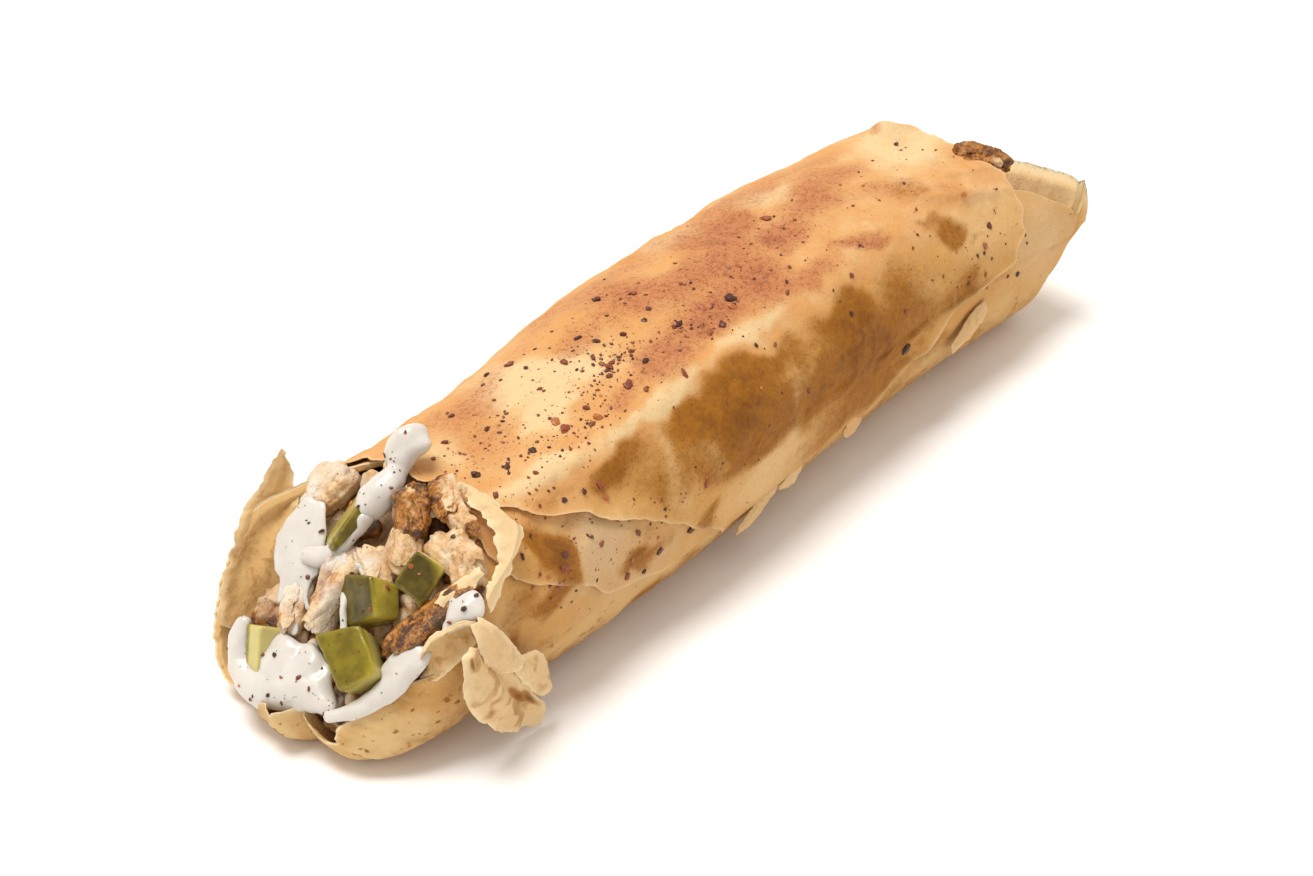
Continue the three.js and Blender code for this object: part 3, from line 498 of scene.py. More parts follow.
def bread_body(material):
    """The body of the roll: its skin from the torn edge to the folded end, and its inside back again."""
    columns = BODY_COLUMNS
    angle = np.linspace(-90, 270, columns, endpoint=False)[None, :]
    ways = body_rows()[:, None]
    skin = body_point(ways, angle, 0)
    inner_ways = np.concatenate([ways[:60], ways[60::3]])[::-1]
    thickened = smooth_step(0, 0.02, inner_ways) * smooth_step(0, 0.04, 1 - inner_ways)
    inside = body_point(inner_ways, angle, 1.25 * (0.3 + 0.7 * thickened))
    rings = np.concatenate([skin, inside])
    total = len(rings)
    first = np.arange(columns)
    last = (total - 1) * columns + first
    closing = np.stack([last, np.roll(last, -1), np.roll(first, -1), first], -1)
    faces = np.concatenate([grid_faces(total, columns, flip=True, wrap=True), closing])
    x = skin[..., 0]
    angles = np.broadcast_to(angle, x.shape)
    # the lower brown map holds painted shade along the lower side of the body as well as browning
    values = crust_values(x, angles, BROWN_LOWER, [], PALE_LOWER)
    values["grey"] = patch_value(GREY_LOWER, x, angles)
    values["edge"] = np.broadcast_to(np.exp(-ways * 240 / 1.4), x.shape) + np.exp(-(1 - ways) * 80 / 1.2)
    values["inner"] = np.zeros(x.shape)
    values["speckled"] = 0.6 * smooth_step(-4, -22, turn_from(angles, 0)) + 0.6 * smooth_step(-62, -80, x)
    count = inside.shape[0] * columns
    within = {"pale": 0.3, "inner": 1}
    full = {
        key: np.concatenate([np.ravel(numbers), np.full(count, within.get(key, 0.0))])
        for key, numbers in values.items()
    }
    bright = np.ravel(smooth_step(92, 98, inside[..., 0]))
    full["inner"][-count:] = 1 - bright
    full["pale"][-count:] = 0.3 + 1.2 * bright
    full["edge"][-columns:] = 0.8
    return make_object("bread_body", rings, faces, material, full)


def torn_slope(edge, angle):
    """How far the edge runs along x for each millimetre round the roll."""
    return (along(edge, angle + 1) - along(edge, angle - 1)) / (2 * PER_DEGREE)


def turn_sheet(name, span, near_at, far_at, lift_at, grid, material, maps, seed):
    """One turn of the sheet laid on the roll between two torn edges, lifting off it near them."""
    rows, columns = grid
    t = np.linspace(0, 1, columns)
    if name == "bread_outer_turn":
        # more of its columns lie on the side that the camera sees
        t = np.interp(t, [0, 0.78, 1], [0, 0.66, 1])
    angle = mix(span[0], span[1], t)[None, :]
    near = along(near_at, angle) + tear(angle * PER_DEGREE, seed, 0.9)
    far = along(far_at, angle) + tear(angle * PER_DEGREE, seed + 7, 0.9)
    x = mix(near, far, dense_ends(rows, 1.35)[:, None])
    from_near = (x - near) / np.hypot(1, torn_slope(near_at, angle))
    from_far = (far - x) / np.hypot(1, torn_slope(far_at, angle))
    angles = np.broadcast_to(angle, x.shape)
    lift = lift_at(x, angles, from_near, from_far)
    closest = np.minimum(from_near, from_far)
    body = TURN_THICKNESS * (0.35 + 0.65 * smooth_step(0, 1.6, closest))
    upper = roll_point(x, angles, lift)
    lower = roll_point(x, angles, lift - body)
    points, faces = thin_sheet(upper, lower)
    brown, red, pale, grey = maps
    values = crust_values(x, angles, brown, red, pale)
    values["grey"] = patch_value(grey, x, angles) if grey else np.zeros(x.shape)
    values["edge"] = 0.55 * np.exp(-np.maximum(closest, 0) / 0.35)
    under_share = {"brown": 0.3, "red": 0.3}
    full = {
        key: np.concatenate([np.ravel(numbers), np.ravel(numbers) * under_share.get(key, 1)])
        for key, numbers in values.items()
    }
    full["inner"] = np.concatenate([np.zeros(x.size), np.ones(x.size)])
    return make_object(name, points, faces, material, full)


def edge_lift(distance, reach, height):
    """The curl of a loose edge, highest at the edge itself."""
    return height * np.clip(1 - distance / reach, 0, 1) ** 2


def outer_lift(x, angle, from_near, from_far):
    base = plain_point(x, angle, 0)
    uneven = 0.6 + 0.5 * noise(base, 6, 51) + 0.25 * noise(base, 2.5, 52)
    fade = 1 - smooth_step(200, 234, angle)
    near_height = 0.55 + 0.5 * bell((angle - 33) / 9) + 1.1 * bell((angle + 14) / 7)
    far_height = 0.35 + 2.2 * bell((angle + 1) / 7.5) + 0.9 * bell((angle - 12) / 6)
    near = edge_lift(from_near, 3.4, near_height * uneven) * (angle < 100)
    far = edge_lift(from_far, 4.2, far_height * uneven) * (angle < 100)
    return (0.1 + near + far) * fade - 0.5 * (1 - fade)


def middle_lift(x, angle, from_near, from_far):
    base = plain_point(x, angle, 0)
    uneven = 0.6 + 0.6 * noise(base, 5, 61)
    height = 0.45 + 0.5 * bell((angle - 4) / 9)
    return -0.52 + edge_lift(from_near, 3.6, height * uneven)


def bread_outer(material):
    maps = (BROWN_OUTER, RED_OUTER, PALE_OUTER, None)
    return turn_sheet(
        "bread_outer_turn", OUTER_SPAN, OUTER_NEAR, OUTER_FAR, outer_lift, OUTER_GRID, material, maps, 71
    )


def bread_middle(material):
    far = [(angle, along(OUTER_NEAR, angle) + MIDDLE_TUCK) for angle in range(-24, 66, 6)]
    maps = (BROWN_LOWER, [], PALE_LOWER, GREY_LOWER)
    return turn_sheet(
        "bread_middle_turn", MIDDLE_SPAN, MIDDLE_NEAR, far, middle_lift, MIDDLE_GRID, material, maps, 83
    )


def bread_inner(material):
    """The innermost turn, whose own torn edge shows inside the open end."""
    rows, columns = INNER_GRID
    size = rows * columns
    angle = np.linspace(-40, 320, columns)[None, :]
    ways = np.linspace(0, 0.34, rows)[:, None] ** 1.15
    lift = np.exp(-ways * 30) * (0.4 + 0.4 * noise(plain_point(-60, angle, 0), 5, 91))
    back = (mouth_back(angle) * np.exp(-ways * 7))[..., None] * np.array([1.0, 0, 0])
    upper = body_point(ways, angle, INNER_TOP + lift) + back
    lower = body_point(ways, angle, INNER_UNDERSIDE + lift) + back
    points, faces = thin_sheet(lower, upper)
    stain = smooth_step(0.1, 0.7, noise(upper, 5, 93) + 0.4 * noise(upper, 1.6, 94)).reshape(-1)
    edge = np.broadcast_to(np.exp(-ways * 240 / 1.2), (rows, columns))
    values = {
        "brown": np.tile(0.25 * stain, 2), "pale": np.full(2 * size, 0.5), "inner": np.ones(2 * size),
        "edge": np.tile(edge.reshape(-1), 2),
    }
    return make_object("bread_inner_turn", points, faces, material, values)


def tab(left, right, seed, **own):
    """A small torn sliver that lies along a loose edge."""
    usual = dict(bulge=0.2, wave=0.2, ragged=0.4, pale=0.5, stain=0.1, tan=0.6, torn=0.25, detail=(34, 16))
    return dict(usual, left=left, right=right, seed=seed, **own)


# Torn pieces of the sheet, each spanned between two edges from one end to the other.
# Folds run between two places on the piece, (along, across) from (0, -1) to (1, 1), with a width and a
# height. tan is how deep the colour of the inner face is, and torn how bright the rim. On the ribbon the
# tan colour is painted shade over the lower part of its arch, stopping short of the upper rim, which is
# left lighter as a painted lit rim.
TORN_PIECES = {
    "bread_left_petal": dict(
        left=[
            (-89.4, 24.4, 13.6), (-88.2, 25.4, 17), (-85.2, 26.2, 22.8), (-81.4, 26.6, 29.8),
            (-76.6, 26.4, 34.9), (-73, 25.6, 38.9), (-71, 24.6, 42.2),
        ],
        right=[
            (-80.4, 17.6, 9.4), (-78.8, 17.8, 13.8), (-77.6, 18.6, 20), (-75.8, 19.2, 26),
            (-71.8, 19.8, 31.4), (-70.6, 21.8, 35.6), (-71.2, 24, 41.6),
        ],
        bulge=-0.7, wave=0.55, ragged=0.75, pale=0.1, stain=0.4, seed=9, tan=1.3,
        folds=[((0.86, 0.7), (0.3, -0.45), 0.16, -0.9), ((0.1, -0.4), (0.5, 0.7), 0.2, 0.5)],
    ),
    "bread_ribbon": dict(
        left=[
            (-82.6, -19.6, 18.6), (-82.3, -21.8, 19), (-81.2, -23.4, 20), (-80, -24.7, 21.2),
            (-78.5, -25.4, 22.5), (-76.9, -26, 23.9), (-75.2, -27.2, 26),
        ],
        right=[
            (-82.6, -19.6, 22.4), (-82.8, -20.8, 25.2), (-81.8, -21.7, 27.9), (-80.2, -22.9, 30),
            (-78.3, -24.8, 31.2), (-76.5, -26.7, 31.5), (-75.1, -28.3, 30.4),
        ],
        # its tan is painted shade on the lower part of the arch, ending part way across so the upper rim
        # stays lighter
        bulge=-1.7, wave=0.35, ragged=0.45, pale=0.9, stain=0.35, seed=3, tan=1.1, bright_rim=0.45,
        folds=[((0.0, 0.8), (1, 0.8), 0.07, 0.9)],
    ),
    "bread_strip": dict(
        left=[
            (-76.6, -27.4, 30.8), (-77, -28.8, 27.9), (-76.6, -29.4, 25), (-76, -29.8, 22.6),
            (-74, -30, 20),
        ],
        right=[
            (-75, -27.4, 31.8), (-72.6, -29, 29.2), (-70.4, -29.8, 25.6), (-67.8, -30.4, 21.2),
            (-66, -30.4, 17.6),
        ],
        bulge=0.8, wave=0.35, ragged=0.55, pale=0.8, stain=0.25, seed=21, tan=0.1,
        folds=[((0.1, 0), (0.9, 0), 0.14, 0.5)],
    ),
    "bread_hanging_flap": dict(
        left=[
            (-78.4, -28.4, 27.4), (-81.4, -29.2, 27.4), (-81.9, -29.8, 25.1), (-81.8, -30.2, 21.1),
            (-81, -30.2, 16.6), (-77.8, -30, 11.3), (-73.6, -29.8, 6.4),
        ],
        right=[
            (-76.2, -28.4, 26.2), (-73.9, -29, 22.4), (-70.3, -29.6, 18.9), (-66.8, -30.2, 14.2),
            (-63.3, -30.3, 8.9), (-61, -30.2, 3.6), (-62.2, -30, 0.8),
        ],
        bulge=0.6, wave=0.6, ragged=0.7, pale=0.75, stain=0.42, seed=5, tan=0.15,
        spots=[(0.64, 0.5, 0.1), (0.7, 0.75, 0.08), (0.16, -0.7, 0.06)],
        folds=[((0.42, 0.5), (1, 0.2), 0.16, -1.3), ((0.1, -0.6), (0.45, 0.1), 0.18, 0.8)],
    ),
    "bread_flap_lobe": dict(
        left=[(-69.6, -29.4, 19.4), (-68, -30, 15), (-65.6, -30.2, 11), (-62, -30.2, 7.8)],
        right=[(-66.6, -28.6, 18.6), (-61.8, -28.8, 17.4), (-59.4, -29.2, 13), (-59.4, -29.6, 8.6)],
        bulge=0.9, wave=0.5, ragged=0.7, pale=0.8, stain=0.38, seed=15,
    ),
    "bread_lip": dict(
        left=[
            (-59.5, -9, 43), (-62.2, -14, 42.6), (-62.2, -17, 42.2), (-62.6, -20, 40.8),
            (-64.2, -22.6, 38.6), (-66.6, -23.6, 37), (-69.2, -24.6, 35.4), (-72, -25.6, 33),
        ],
        right=[
            (-58.8, -9.2, 43.4), (-59, -13.7, 43.2), (-59, -18.2, 42.2), (-58.8, -22.8, 39.6),
            (-61, -24.6, 37.4), (-64.2, -26.2, 35.2), (-68.8, -27, 33.2), (-72.6, -27, 30.8),
        ],
        bulge=0.5, wave=0.6, ragged=1.15, pale=1.4, stain=0.0, seed=7, tan=0.0,
        folds=[((0.1, -0.2), (0.5, 0.3), 0.25, 0.6), ((0.55, 0.4), (0.85, -0.3), 0.12, 0.6)],
    ),
    "bread_tab_near": tab(
        [(13, -24.4, 12.1), (6.5, -24.8, 11.4), (-1.2, -26.4, 9.6)],
        [(13, -23.6, 8.6), (4.4, -25.6, 7.4), (-2.2, -26.8, 8.6)], 41,
    ),
    "bread_tab_middle": tab(
        [(23, -23.8, 12.5), (19, -24.3, 12.3), (14, -25, 11)],
        [(23, -22.9, 9), (17.5, -24.6, 9), (13, -25.2, 10)], 43,
    ),
    "bread_tab_far": tab(
        [(43, -22.8, 14.1), (39, -23.2, 13.5), (35.6, -23.6, 12)],
        [(44, -22, 9.6), (39.5, -23.2, 8.8), (35, -23.4, 9.8)], 47,
        ragged=0.5, pale=0.2, stain=0.5, tan=0.8, torn=0.2,
    ),
    "bread_tab_edge": tab(
        [(84, -22.6, 18.5), (78, -22.8, 16.6), (72, -23.2, 12.8)],
        [(85, -22.9, 15), (79, -23.4, 12.4), (72.5, -23, 10.4)], 53, torn=0.3,
    ),
    "bread_lip_strip": dict(
        left=[(-76.2, -18.4, 31.8), (-73.8, -19.6, 33.8), (-71.6, -20.8, 35.4), (-69.6, -22, 36.6)],
        right=[(-76, -20.6, 31.6), (-74.2, -22.2, 33), (-72.4, -23.6, 34.2), (-70, -23.8, 35.8)],
        bulge=0.4, wave=0.4, ragged=0.9, pale=1.4, stain=0.15, seed=33, tan=0.0,
    ),
}


def curve_points(spine, count):
    """A smooth curve through the points: the share of its length at each place, and the place."""
    stations = np.array(spine, float)
    keys = np.concatenate([[0], np.cumsum(np.linalg.norm(np.diff(stations, axis=0), axis=1))])
    keys = keys / keys[-1]
    s = np.linspace(0, 1, count)
    return s, np.stack([along(list(zip(keys, stations[:, k])), s) for k in range(3)], -1)


def unit(v):
    return v / np.linalg.norm(v, axis=-1, keepdims=True)


def fold_height(s, t, folds):
    """The height of the folds pressed into a torn piece at each place on it."""
    total = np.zeros(np.broadcast(s, t).shape)
    for (sa, ta), (sb, tb), width, height in folds:
        ds, dt = sb - sa, (tb - ta) * 0.5
        ps, pt = s - sa, (t - ta) * 0.5
        share = np.clip((ps * ds + pt * dt) / (ds * ds + dt * dt), 0, 1)
        total = total + height * bell(np.hypot(ps - share * ds, pt - share * dt) / width)
    return total


def torn_piece(name, form, material):
    """A thin torn piece of the sheet between two edges, bowed, wavy, folded and with a ragged outline."""
    seed, ragged = form["seed"], form["ragged"]
    rows, columns = form.get("detail", TORN_GRID)
    s, left = curve_points(form["left"], rows)
    right = curve_points(form["right"], rows)[1]
    s = s[:, None]
    middle = (left + right) / 2
    half = (right - left) / 2
    reach = np.linalg.norm(half, axis=1)[:, None]
    over = half / reach
    ahead = unit(np.gradient(middle, axis=0))
    normal = unit(np.cross(over, ahead))
    normal = normal * np.sign((normal @ OPEN_FACE).mean() + 1e-6)
    t = np.linspace(-1, 1, columns)[None, :]
    length = np.cumsum(np.linalg.norm(np.gradient(middle, axis=0), axis=1))[:, None]
    side_tear = np.where(t < 0, tear(length, seed, ragged), tear(length, seed + 13, ragged))
    offset = t * (reach + side_tear)
    end = smooth_step(0.8, 1, s) - 1 + smooth_step(0, 0.2, s)
    ends = tear(offset, seed + 29, ragged) * end
    flat = middle[:, None] + over[:, None] * offset[..., None] + ahead[:, None] * ends[..., None]
    wave = form["wave"] * (noise(flat, 6, seed) + 0.5 * noise(flat, 2.6, seed + 1))
    wave = wave + 0.12 * noise(flat, 1.1, seed + 2)
    wave = wave + form["bulge"] * (1 - t * t) + fold_height(s, t, form.get("folds", []))
    rim = np.minimum((1 - np.abs(t)) * reach, np.minimum(length, length[-1] - length))
    thickness = 0.1 + 0.3 * smooth_step(0, 1.3, rim)
    upper = flat + normal[:, None] * (wave + thickness)[..., None]
    lower = flat + normal[:, None] * (wave - thickness)[..., None]
    for face in (upper, lower):
        face[..., 2] = np.maximum(face[..., 2], 0.35)
    points, faces = thin_sheet(upper, lower)
    stain = smooth_step(0.0, 0.6, noise(flat, 3.6, seed + 5) + 0.5 * noise(flat, 1.3, seed + 6))
    stain = stain * form["stain"]
    for spot_s, spot_t, spot_reach in form.get("spots", []):
        far_off = np.hypot(s - spot_s, (t - spot_t) * 0.5) * (1 + 0.5 * noise(flat, 1.8, seed + 8))
        stain = np.maximum(stain, 1.3 * bell(far_off / spot_reach))
    # the tan is laid only up to this place across the piece; on the ribbon it is painted shade below a
    # lighter, lit rim
    bright_from = form.get("bright_rim", 2)
    tan = form.get("tan", 0.4) * (1 - smooth_step(bright_from, bright_from + 0.25, t))
    values = {
        "brown": np.tile(stain.reshape(-1), 2),
        "pale": np.full(2 * rows * columns, form["pale"]),
        "edge": np.tile(form.get("torn", 1) * np.exp(-rim / 0.8).reshape(-1), 2),
        "inner": np.tile((tan * np.ones((rows, columns))).reshape(-1), 2),
    }
    return make_object(name, points, faces, material, values)


# The filling

# skin is the direction of the side that shows the dark skin, across the piece's own length, width and
# thickness; flesh is how pale the other sides are
PICKLES = {
    "pickle_large": dict(
        a=(-85, -5.4, 22.4), b=(-89.4, -12.6, 17.6), wide=7.8, thick=7, turn=8, skin=(0, 0, 1), dark=0.6,
        flesh=0.3,
    ),
    "pickle_block": dict(
        a=(-77, -3.4, 29.4), b=(-81.4, -7.4, 24.2), wide=8.4, thick=7, turn=32, skin=(0, 0, 1), dark=1.0,
        flesh=0.1,
    ),
    "pickle_diamond": dict(
        a=(-71.4, -13.6, 35.6), b=(-77.2, -12.3, 30.6), wide=6, thick=3.8, turn=-26, skin=(0, 0, 1),
        dark=1.0, flesh=1.0,
    ),
    "pickle_slice": dict(
        a=(-65.5, 5, 39.6), b=(-75.5, 8, 30), wide=8, thick=3.4, turn=58, skin=(0, 1, 0), dark=0.8,
        flesh=0.3,
    ),
    "pickle_left": dict(
        a=(-88.5, 12.5, 18), b=(-92.8, 11.2, 10), wide=4.6, thick=4.6, turn=20, skin=(0, -1, 0), dark=0.4,
        flesh=0.6,
    ),
}
# crust is how browned each piece of chicken is, from 0 to 1
MEATS = {
    "meat_upright": dict(
        a=(-63, -2, 43), b=(-69.5, -6, 34.5), wide=8.5, thick=4.2, turn=20, crust=0.75, seed=2,
    ),
    "meat_pale_upper": dict(
        a=(-67.5, -3, 36), b=(-73, -8, 30), wide=8.5, thick=5, turn=-20, crust=0.15, seed=3,
    ),
    "meat_curl_right": dict(
        a=(-66, -11.5, 38), b=(-70.5, -23, 34), wide=8, thick=3.8, curl=1.6, crust=0.3, seed=4,
    ),
    "meat_under_edge": dict(
        a=(-61.5, -9, 40.5), b=(-65, -18, 37.5), wide=6, thick=4, turn=15, crust=0.5, seed=5,
    ),
    "meat_curved_left": dict(
        a=(-73, 2, 32.5), b=(-86, 3.5, 19.5), wide=7, thick=6.4, curl=1.5, crust=0.35, seed=6,
    ),
    "meat_pale_middle": dict(
        a=(-72.5, 0.5, 32), b=(-77.5, -6, 27), wide=7.5, thick=5, turn=25, crust=0.1, seed=7,
    ),
    "meat_crusty_long": dict(
        a=(-69.5, -23.5, 33), b=(-84, -12, 20.5), wide=7.5, thick=5.2, turn=10, crust=0.95, seed=8,
    ),
    "meat_left_strip": dict(
        a=(-79, 11, 25), b=(-87, 8.5, 16), wide=4.6, thick=4.2, turn=40, crust=0.4, seed=9,
    ),
    "meat_top_grey": dict(
        a=(-59, -4, 42), b=(-64.5, -12, 40.5), wide=6.5, thick=3.5, turn=5, crust=0.55, seed=10,
    ),
    "meat_back_left": dict(
        a=(-60.5, 17, 36.5), b=(-71, 18.5, 29), wide=9, thick=5.5, turn=-15, crust=0.3, seed=12,
    ),
    "meat_folded_end": dict(
        a=(98.4, -3, 40.4), b=(104.8, -13, 37.4), wide=7.8, thick=5.4, turn=60, crust=0.85, seed=11,
    ),
}


def lump_frame(form):
    """The middle of a lump, its three directions and its three half sizes."""
    a, b = np.array(form["a"], float), np.array(form["b"], float)
    half = np.linalg.norm(b - a) / 2
    ahead = unit(b - a)
    side = unit(np.cross(unit(OPEN_FACE), ahead))
    turn = math.radians(form.get("turn", 0))
    side = side * math.cos(turn) + np.cross(ahead, side) * math.sin(turn)
    face = unit(np.cross(ahead, side))
    return (a + b) / 2, ahead, side, face, np.array([half, form["wide"] / 2, form["thick"] / 2])


def ball_points(level):
    """Points and faces of a finely divided ball of radius 1."""
    ball = bmesh.new()
    bmesh.ops.create_icosphere(ball, subdivisions=level, radius=1)
    points = np.array([v.co[:] for v in ball.verts])
    faces = np.array([[v.index for v in f.verts] for f in ball.faces])
    ball.free()
    return points, faces


def place_lump(form, local):
    """Moves points from a lump's own directions to its place, bending it by its curl."""
    middle, ahead, side, face, size = lump_frame(form)
    bent = form.get("curl", 0) * (local[:, 0] / size[0]) ** 2
    place = middle + local[:, :1] * ahead + local[:, 1:2] * side + (local[:, 2] - bent)[:, None] * face
    place[:, 2] = np.maximum(place[:, 2], WALL_TOP)
    return place


def chicken_piece(name, form, ball, material):
    """A torn shaving of roast chicken: fibres along it, ragged ends and a craggy crust where browned."""
    parts = [chicken_lump(form, ball)] + [chicken_slice(form, number) for number in range(3)]
    starts = np.cumsum([0] + [len(points) for points, _, _ in parts])
    faces = [face for part, start in zip(parts, starts) for face in (part[1] + start).tolist()]
    points = np.concatenate([points for points, _, _ in parts])
    values = {key: np.concatenate([part[2][key] for part in parts]) for key in ("crust", "deep")}
    points = points + 0.12 * noise(points, 1.6, 4)[:, None] * unit(OPEN_FACE)
    extra = COATED.get(name, 0) * (noise(points, 5, 63) + 0.35)
    values["coat"] = np.clip(sauce_coat(points) * (1 - form["crust"]) + extra, 0, 1)
    piece = make_object(name + "_look", points, faces, material, values)
    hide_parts(name)
    return piece


def crust_share(place, form):
    """How browned each point is, from 0 to 1."""
    level = form["crust"] * 2 - 1
    uneven = 0.8 * noise(place, 4.5, form["seed"]) + 0.35 * noise(place, 1.6, form["seed"] + 3)
    return smooth_step(-0.4, 0.6, uneven + 0.9 * level)


def chicken_lump(form, ball):
    points, faces = ball
    size = lump_frame(form)[4] * np.array([0.96, 0.9, 0.86])
    seed = form["seed"]
    r = np.sum(np.abs(points) ** 3, axis=1) ** (-1 / 3)
    local = points * r[:, None] * size
    stretched = local * np.array([0.3, 1, 1])
    crust = crust_share(local, form)
    bundles = 0.7 * noise(stretched, 2.4, seed + 10) + 0.5 * noise(local, 3.8, seed + 11)
    fibres = 0.6 * (np.abs(noise(stretched, 1.3, seed + 20)) - 0.3) * (1 - 0.5 * crust)
    crags = crust * (0.34 * noise(local, 1.5, seed + 30) + 0.2 * np.abs(noise(local, 0.7, seed + 31)))
    grit = (0.05 + 0.12 * crust) * noise(local, 0.33, seed + 40)
    torn = 1.1 * np.abs(points[:, 0]) ** 3 * noise(local * np.array([0.4, 1, 1]), 1.5, seed + 50)
    local = local + points * (bundles + fibres + crags + grit - 0.15)[:, None]
    local[:, 0] += torn * np.sign(points[:, 0])
    # deep is painted shade: darker where the surface sinks in between bundles, fibres and crags
    values = {"crust": crust, "deep": np.clip(0.45 - 0.8 * (bundles * 0.6 + fibres + crags), 0, 1)}
    return place_lump(form, local), faces, values


def chicken_slice(form, number):
    """A thin ragged slice lying on the piece, its edges curling away from it."""
    middle, ahead, side, face, size = lump_frame(form)
    seed = form["seed"] * 7 + number * 3
    draw = np.random.default_rng(seed)
    spin = math.radians(draw.uniform(-28, 28))
    u_way = ahead * math.cos(spin) + side * math.sin(spin)
    v_way = side * math.cos(spin) - ahead * math.sin(spin)
    half_u = size[0] * draw.uniform(0.62, 0.9)
    half_v = size[1] * draw.uniform(0.5, 0.82)
    shift = ahead * draw.uniform(-0.25, 0.25) * size[0] + side * draw.uniform(-0.4, 0.4) * size[1]
    u = np.linspace(-1, 1, SLICE_ROWS)[:, None]
    v = np.linspace(-1, 1, SLICE_COLUMNS)[None, :]
    wide = np.sqrt(1 - 0.75 * np.abs(u) ** 3)
    end = tear(v * half_v * 1.6, seed + 5, 0.8)
    flat_u = u * half_u + end * np.abs(u) ** 2 * np.sign(u)
    flat_v = v * wide * (half_v + 0.6 * tear(u * half_u, seed + 9, 0.8))
    place = np.stack([flat_u, flat_v, np.full_like(flat_u, seed * 2.3)], -1)
    bow = -0.55 * (flat_v / half_v) ** 2 * size[2] - form.get("curl", 0) * (flat_u / size[0]) ** 2
    bow = bow + 0.5 * noise(place, 2.6, seed) + 0.25 * noise(place, 1.2, seed + 1)
    height = size[2] * (0.86 + 0.14 * number) + bow
    crust = np.clip(crust_share(place, form) + draw.uniform(-0.2, 0.15), 0, 1)
    fibre = 0.24 * noise(place * np.array([0.18, 1, 1]), 0.75, seed + 2) * (1 - 0.5 * crust)
    rough_skin = crust * (0.24 * noise(place, 1.1, seed + 3) + 0.12 * np.abs(noise(place, 0.5, seed + 4)))
    rim = np.minimum(1 - np.abs(u), 1 - np.abs(v))
    thick = 0.12 + 0.5 * smooth_step(0, 0.35, rim)
    flat = middle + shift + flat_u[..., None] * u_way + flat_v[..., None] * v_way
    upper = flat + face * (height + fibre + rough_skin + thick)[..., None]
    lower = flat + face * (height - thick)[..., None]
    points, faces = thin_sheet(lower, upper)
    points[:, 2] = np.maximum(points[:, 2], WALL_TOP)
    # deep is painted shade: darker in the hollows of the upper face, and the whole lower face darker as if
    # shaded
    deep = np.clip(0.3 - 0.9 * (fibre + rough_skin), 0, 1)
    values = {
        "crust": np.tile(crust.reshape(-1), 2),
        "deep": np.concatenate([np.full(deep.size, 0.6), deep.reshape(-1)]),
    }
    return points, faces, values


def pickle_piece(name, form, ball, material):
    """A diced piece of pickled cucumber: slightly skewed flat cuts, one side of it skin."""
    points, faces = ball
    size = lump_frame(form)[4]
    seed = sum(map(ord, name))
    skew = np.random.default_rng(seed)
    sides = []
    for axis in range(3):
        for sign in (-1, 1):
            side = np.zeros(3)
            side[axis] = sign
            sides.append(unit(side + skew.uniform(-0.16, 0.16, 3)) / size[axis])
    reach = np.maximum(points @ np.array(sides).T, 0)
    r = np.sum(reach**16, axis=1) ** (-1 / 16)
    local = points * r[:, None]
    pressed = np.sort(reach * r[:, None], axis=1)
    # rim marks the edges where two cut faces meet; the pickle material paints them lighter as a painted
    # highlight
    rim = smooth_step(0.86, 0.99, pressed[:, -2])
    uneven = 0.22 * noise(local, 4, seed % 50) + 0.05 * noise(local, 0.9, seed % 50 + 2)
    facing = (local / size) @ unit(np.array(form["skin"], float))
    local = local + points * uneven[:, None]
    skin = smooth_step(0.62, 0.86, facing) * form["dark"]
    values = {"skin": skin, "rim": rim, "flesh": (1 - smooth_step(0.4, 0.7, facing)) * form["flesh"]}
    piece = make_object(name + "_look", place_lump(form, local), faces, material, values)
    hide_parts(name)
    return piece


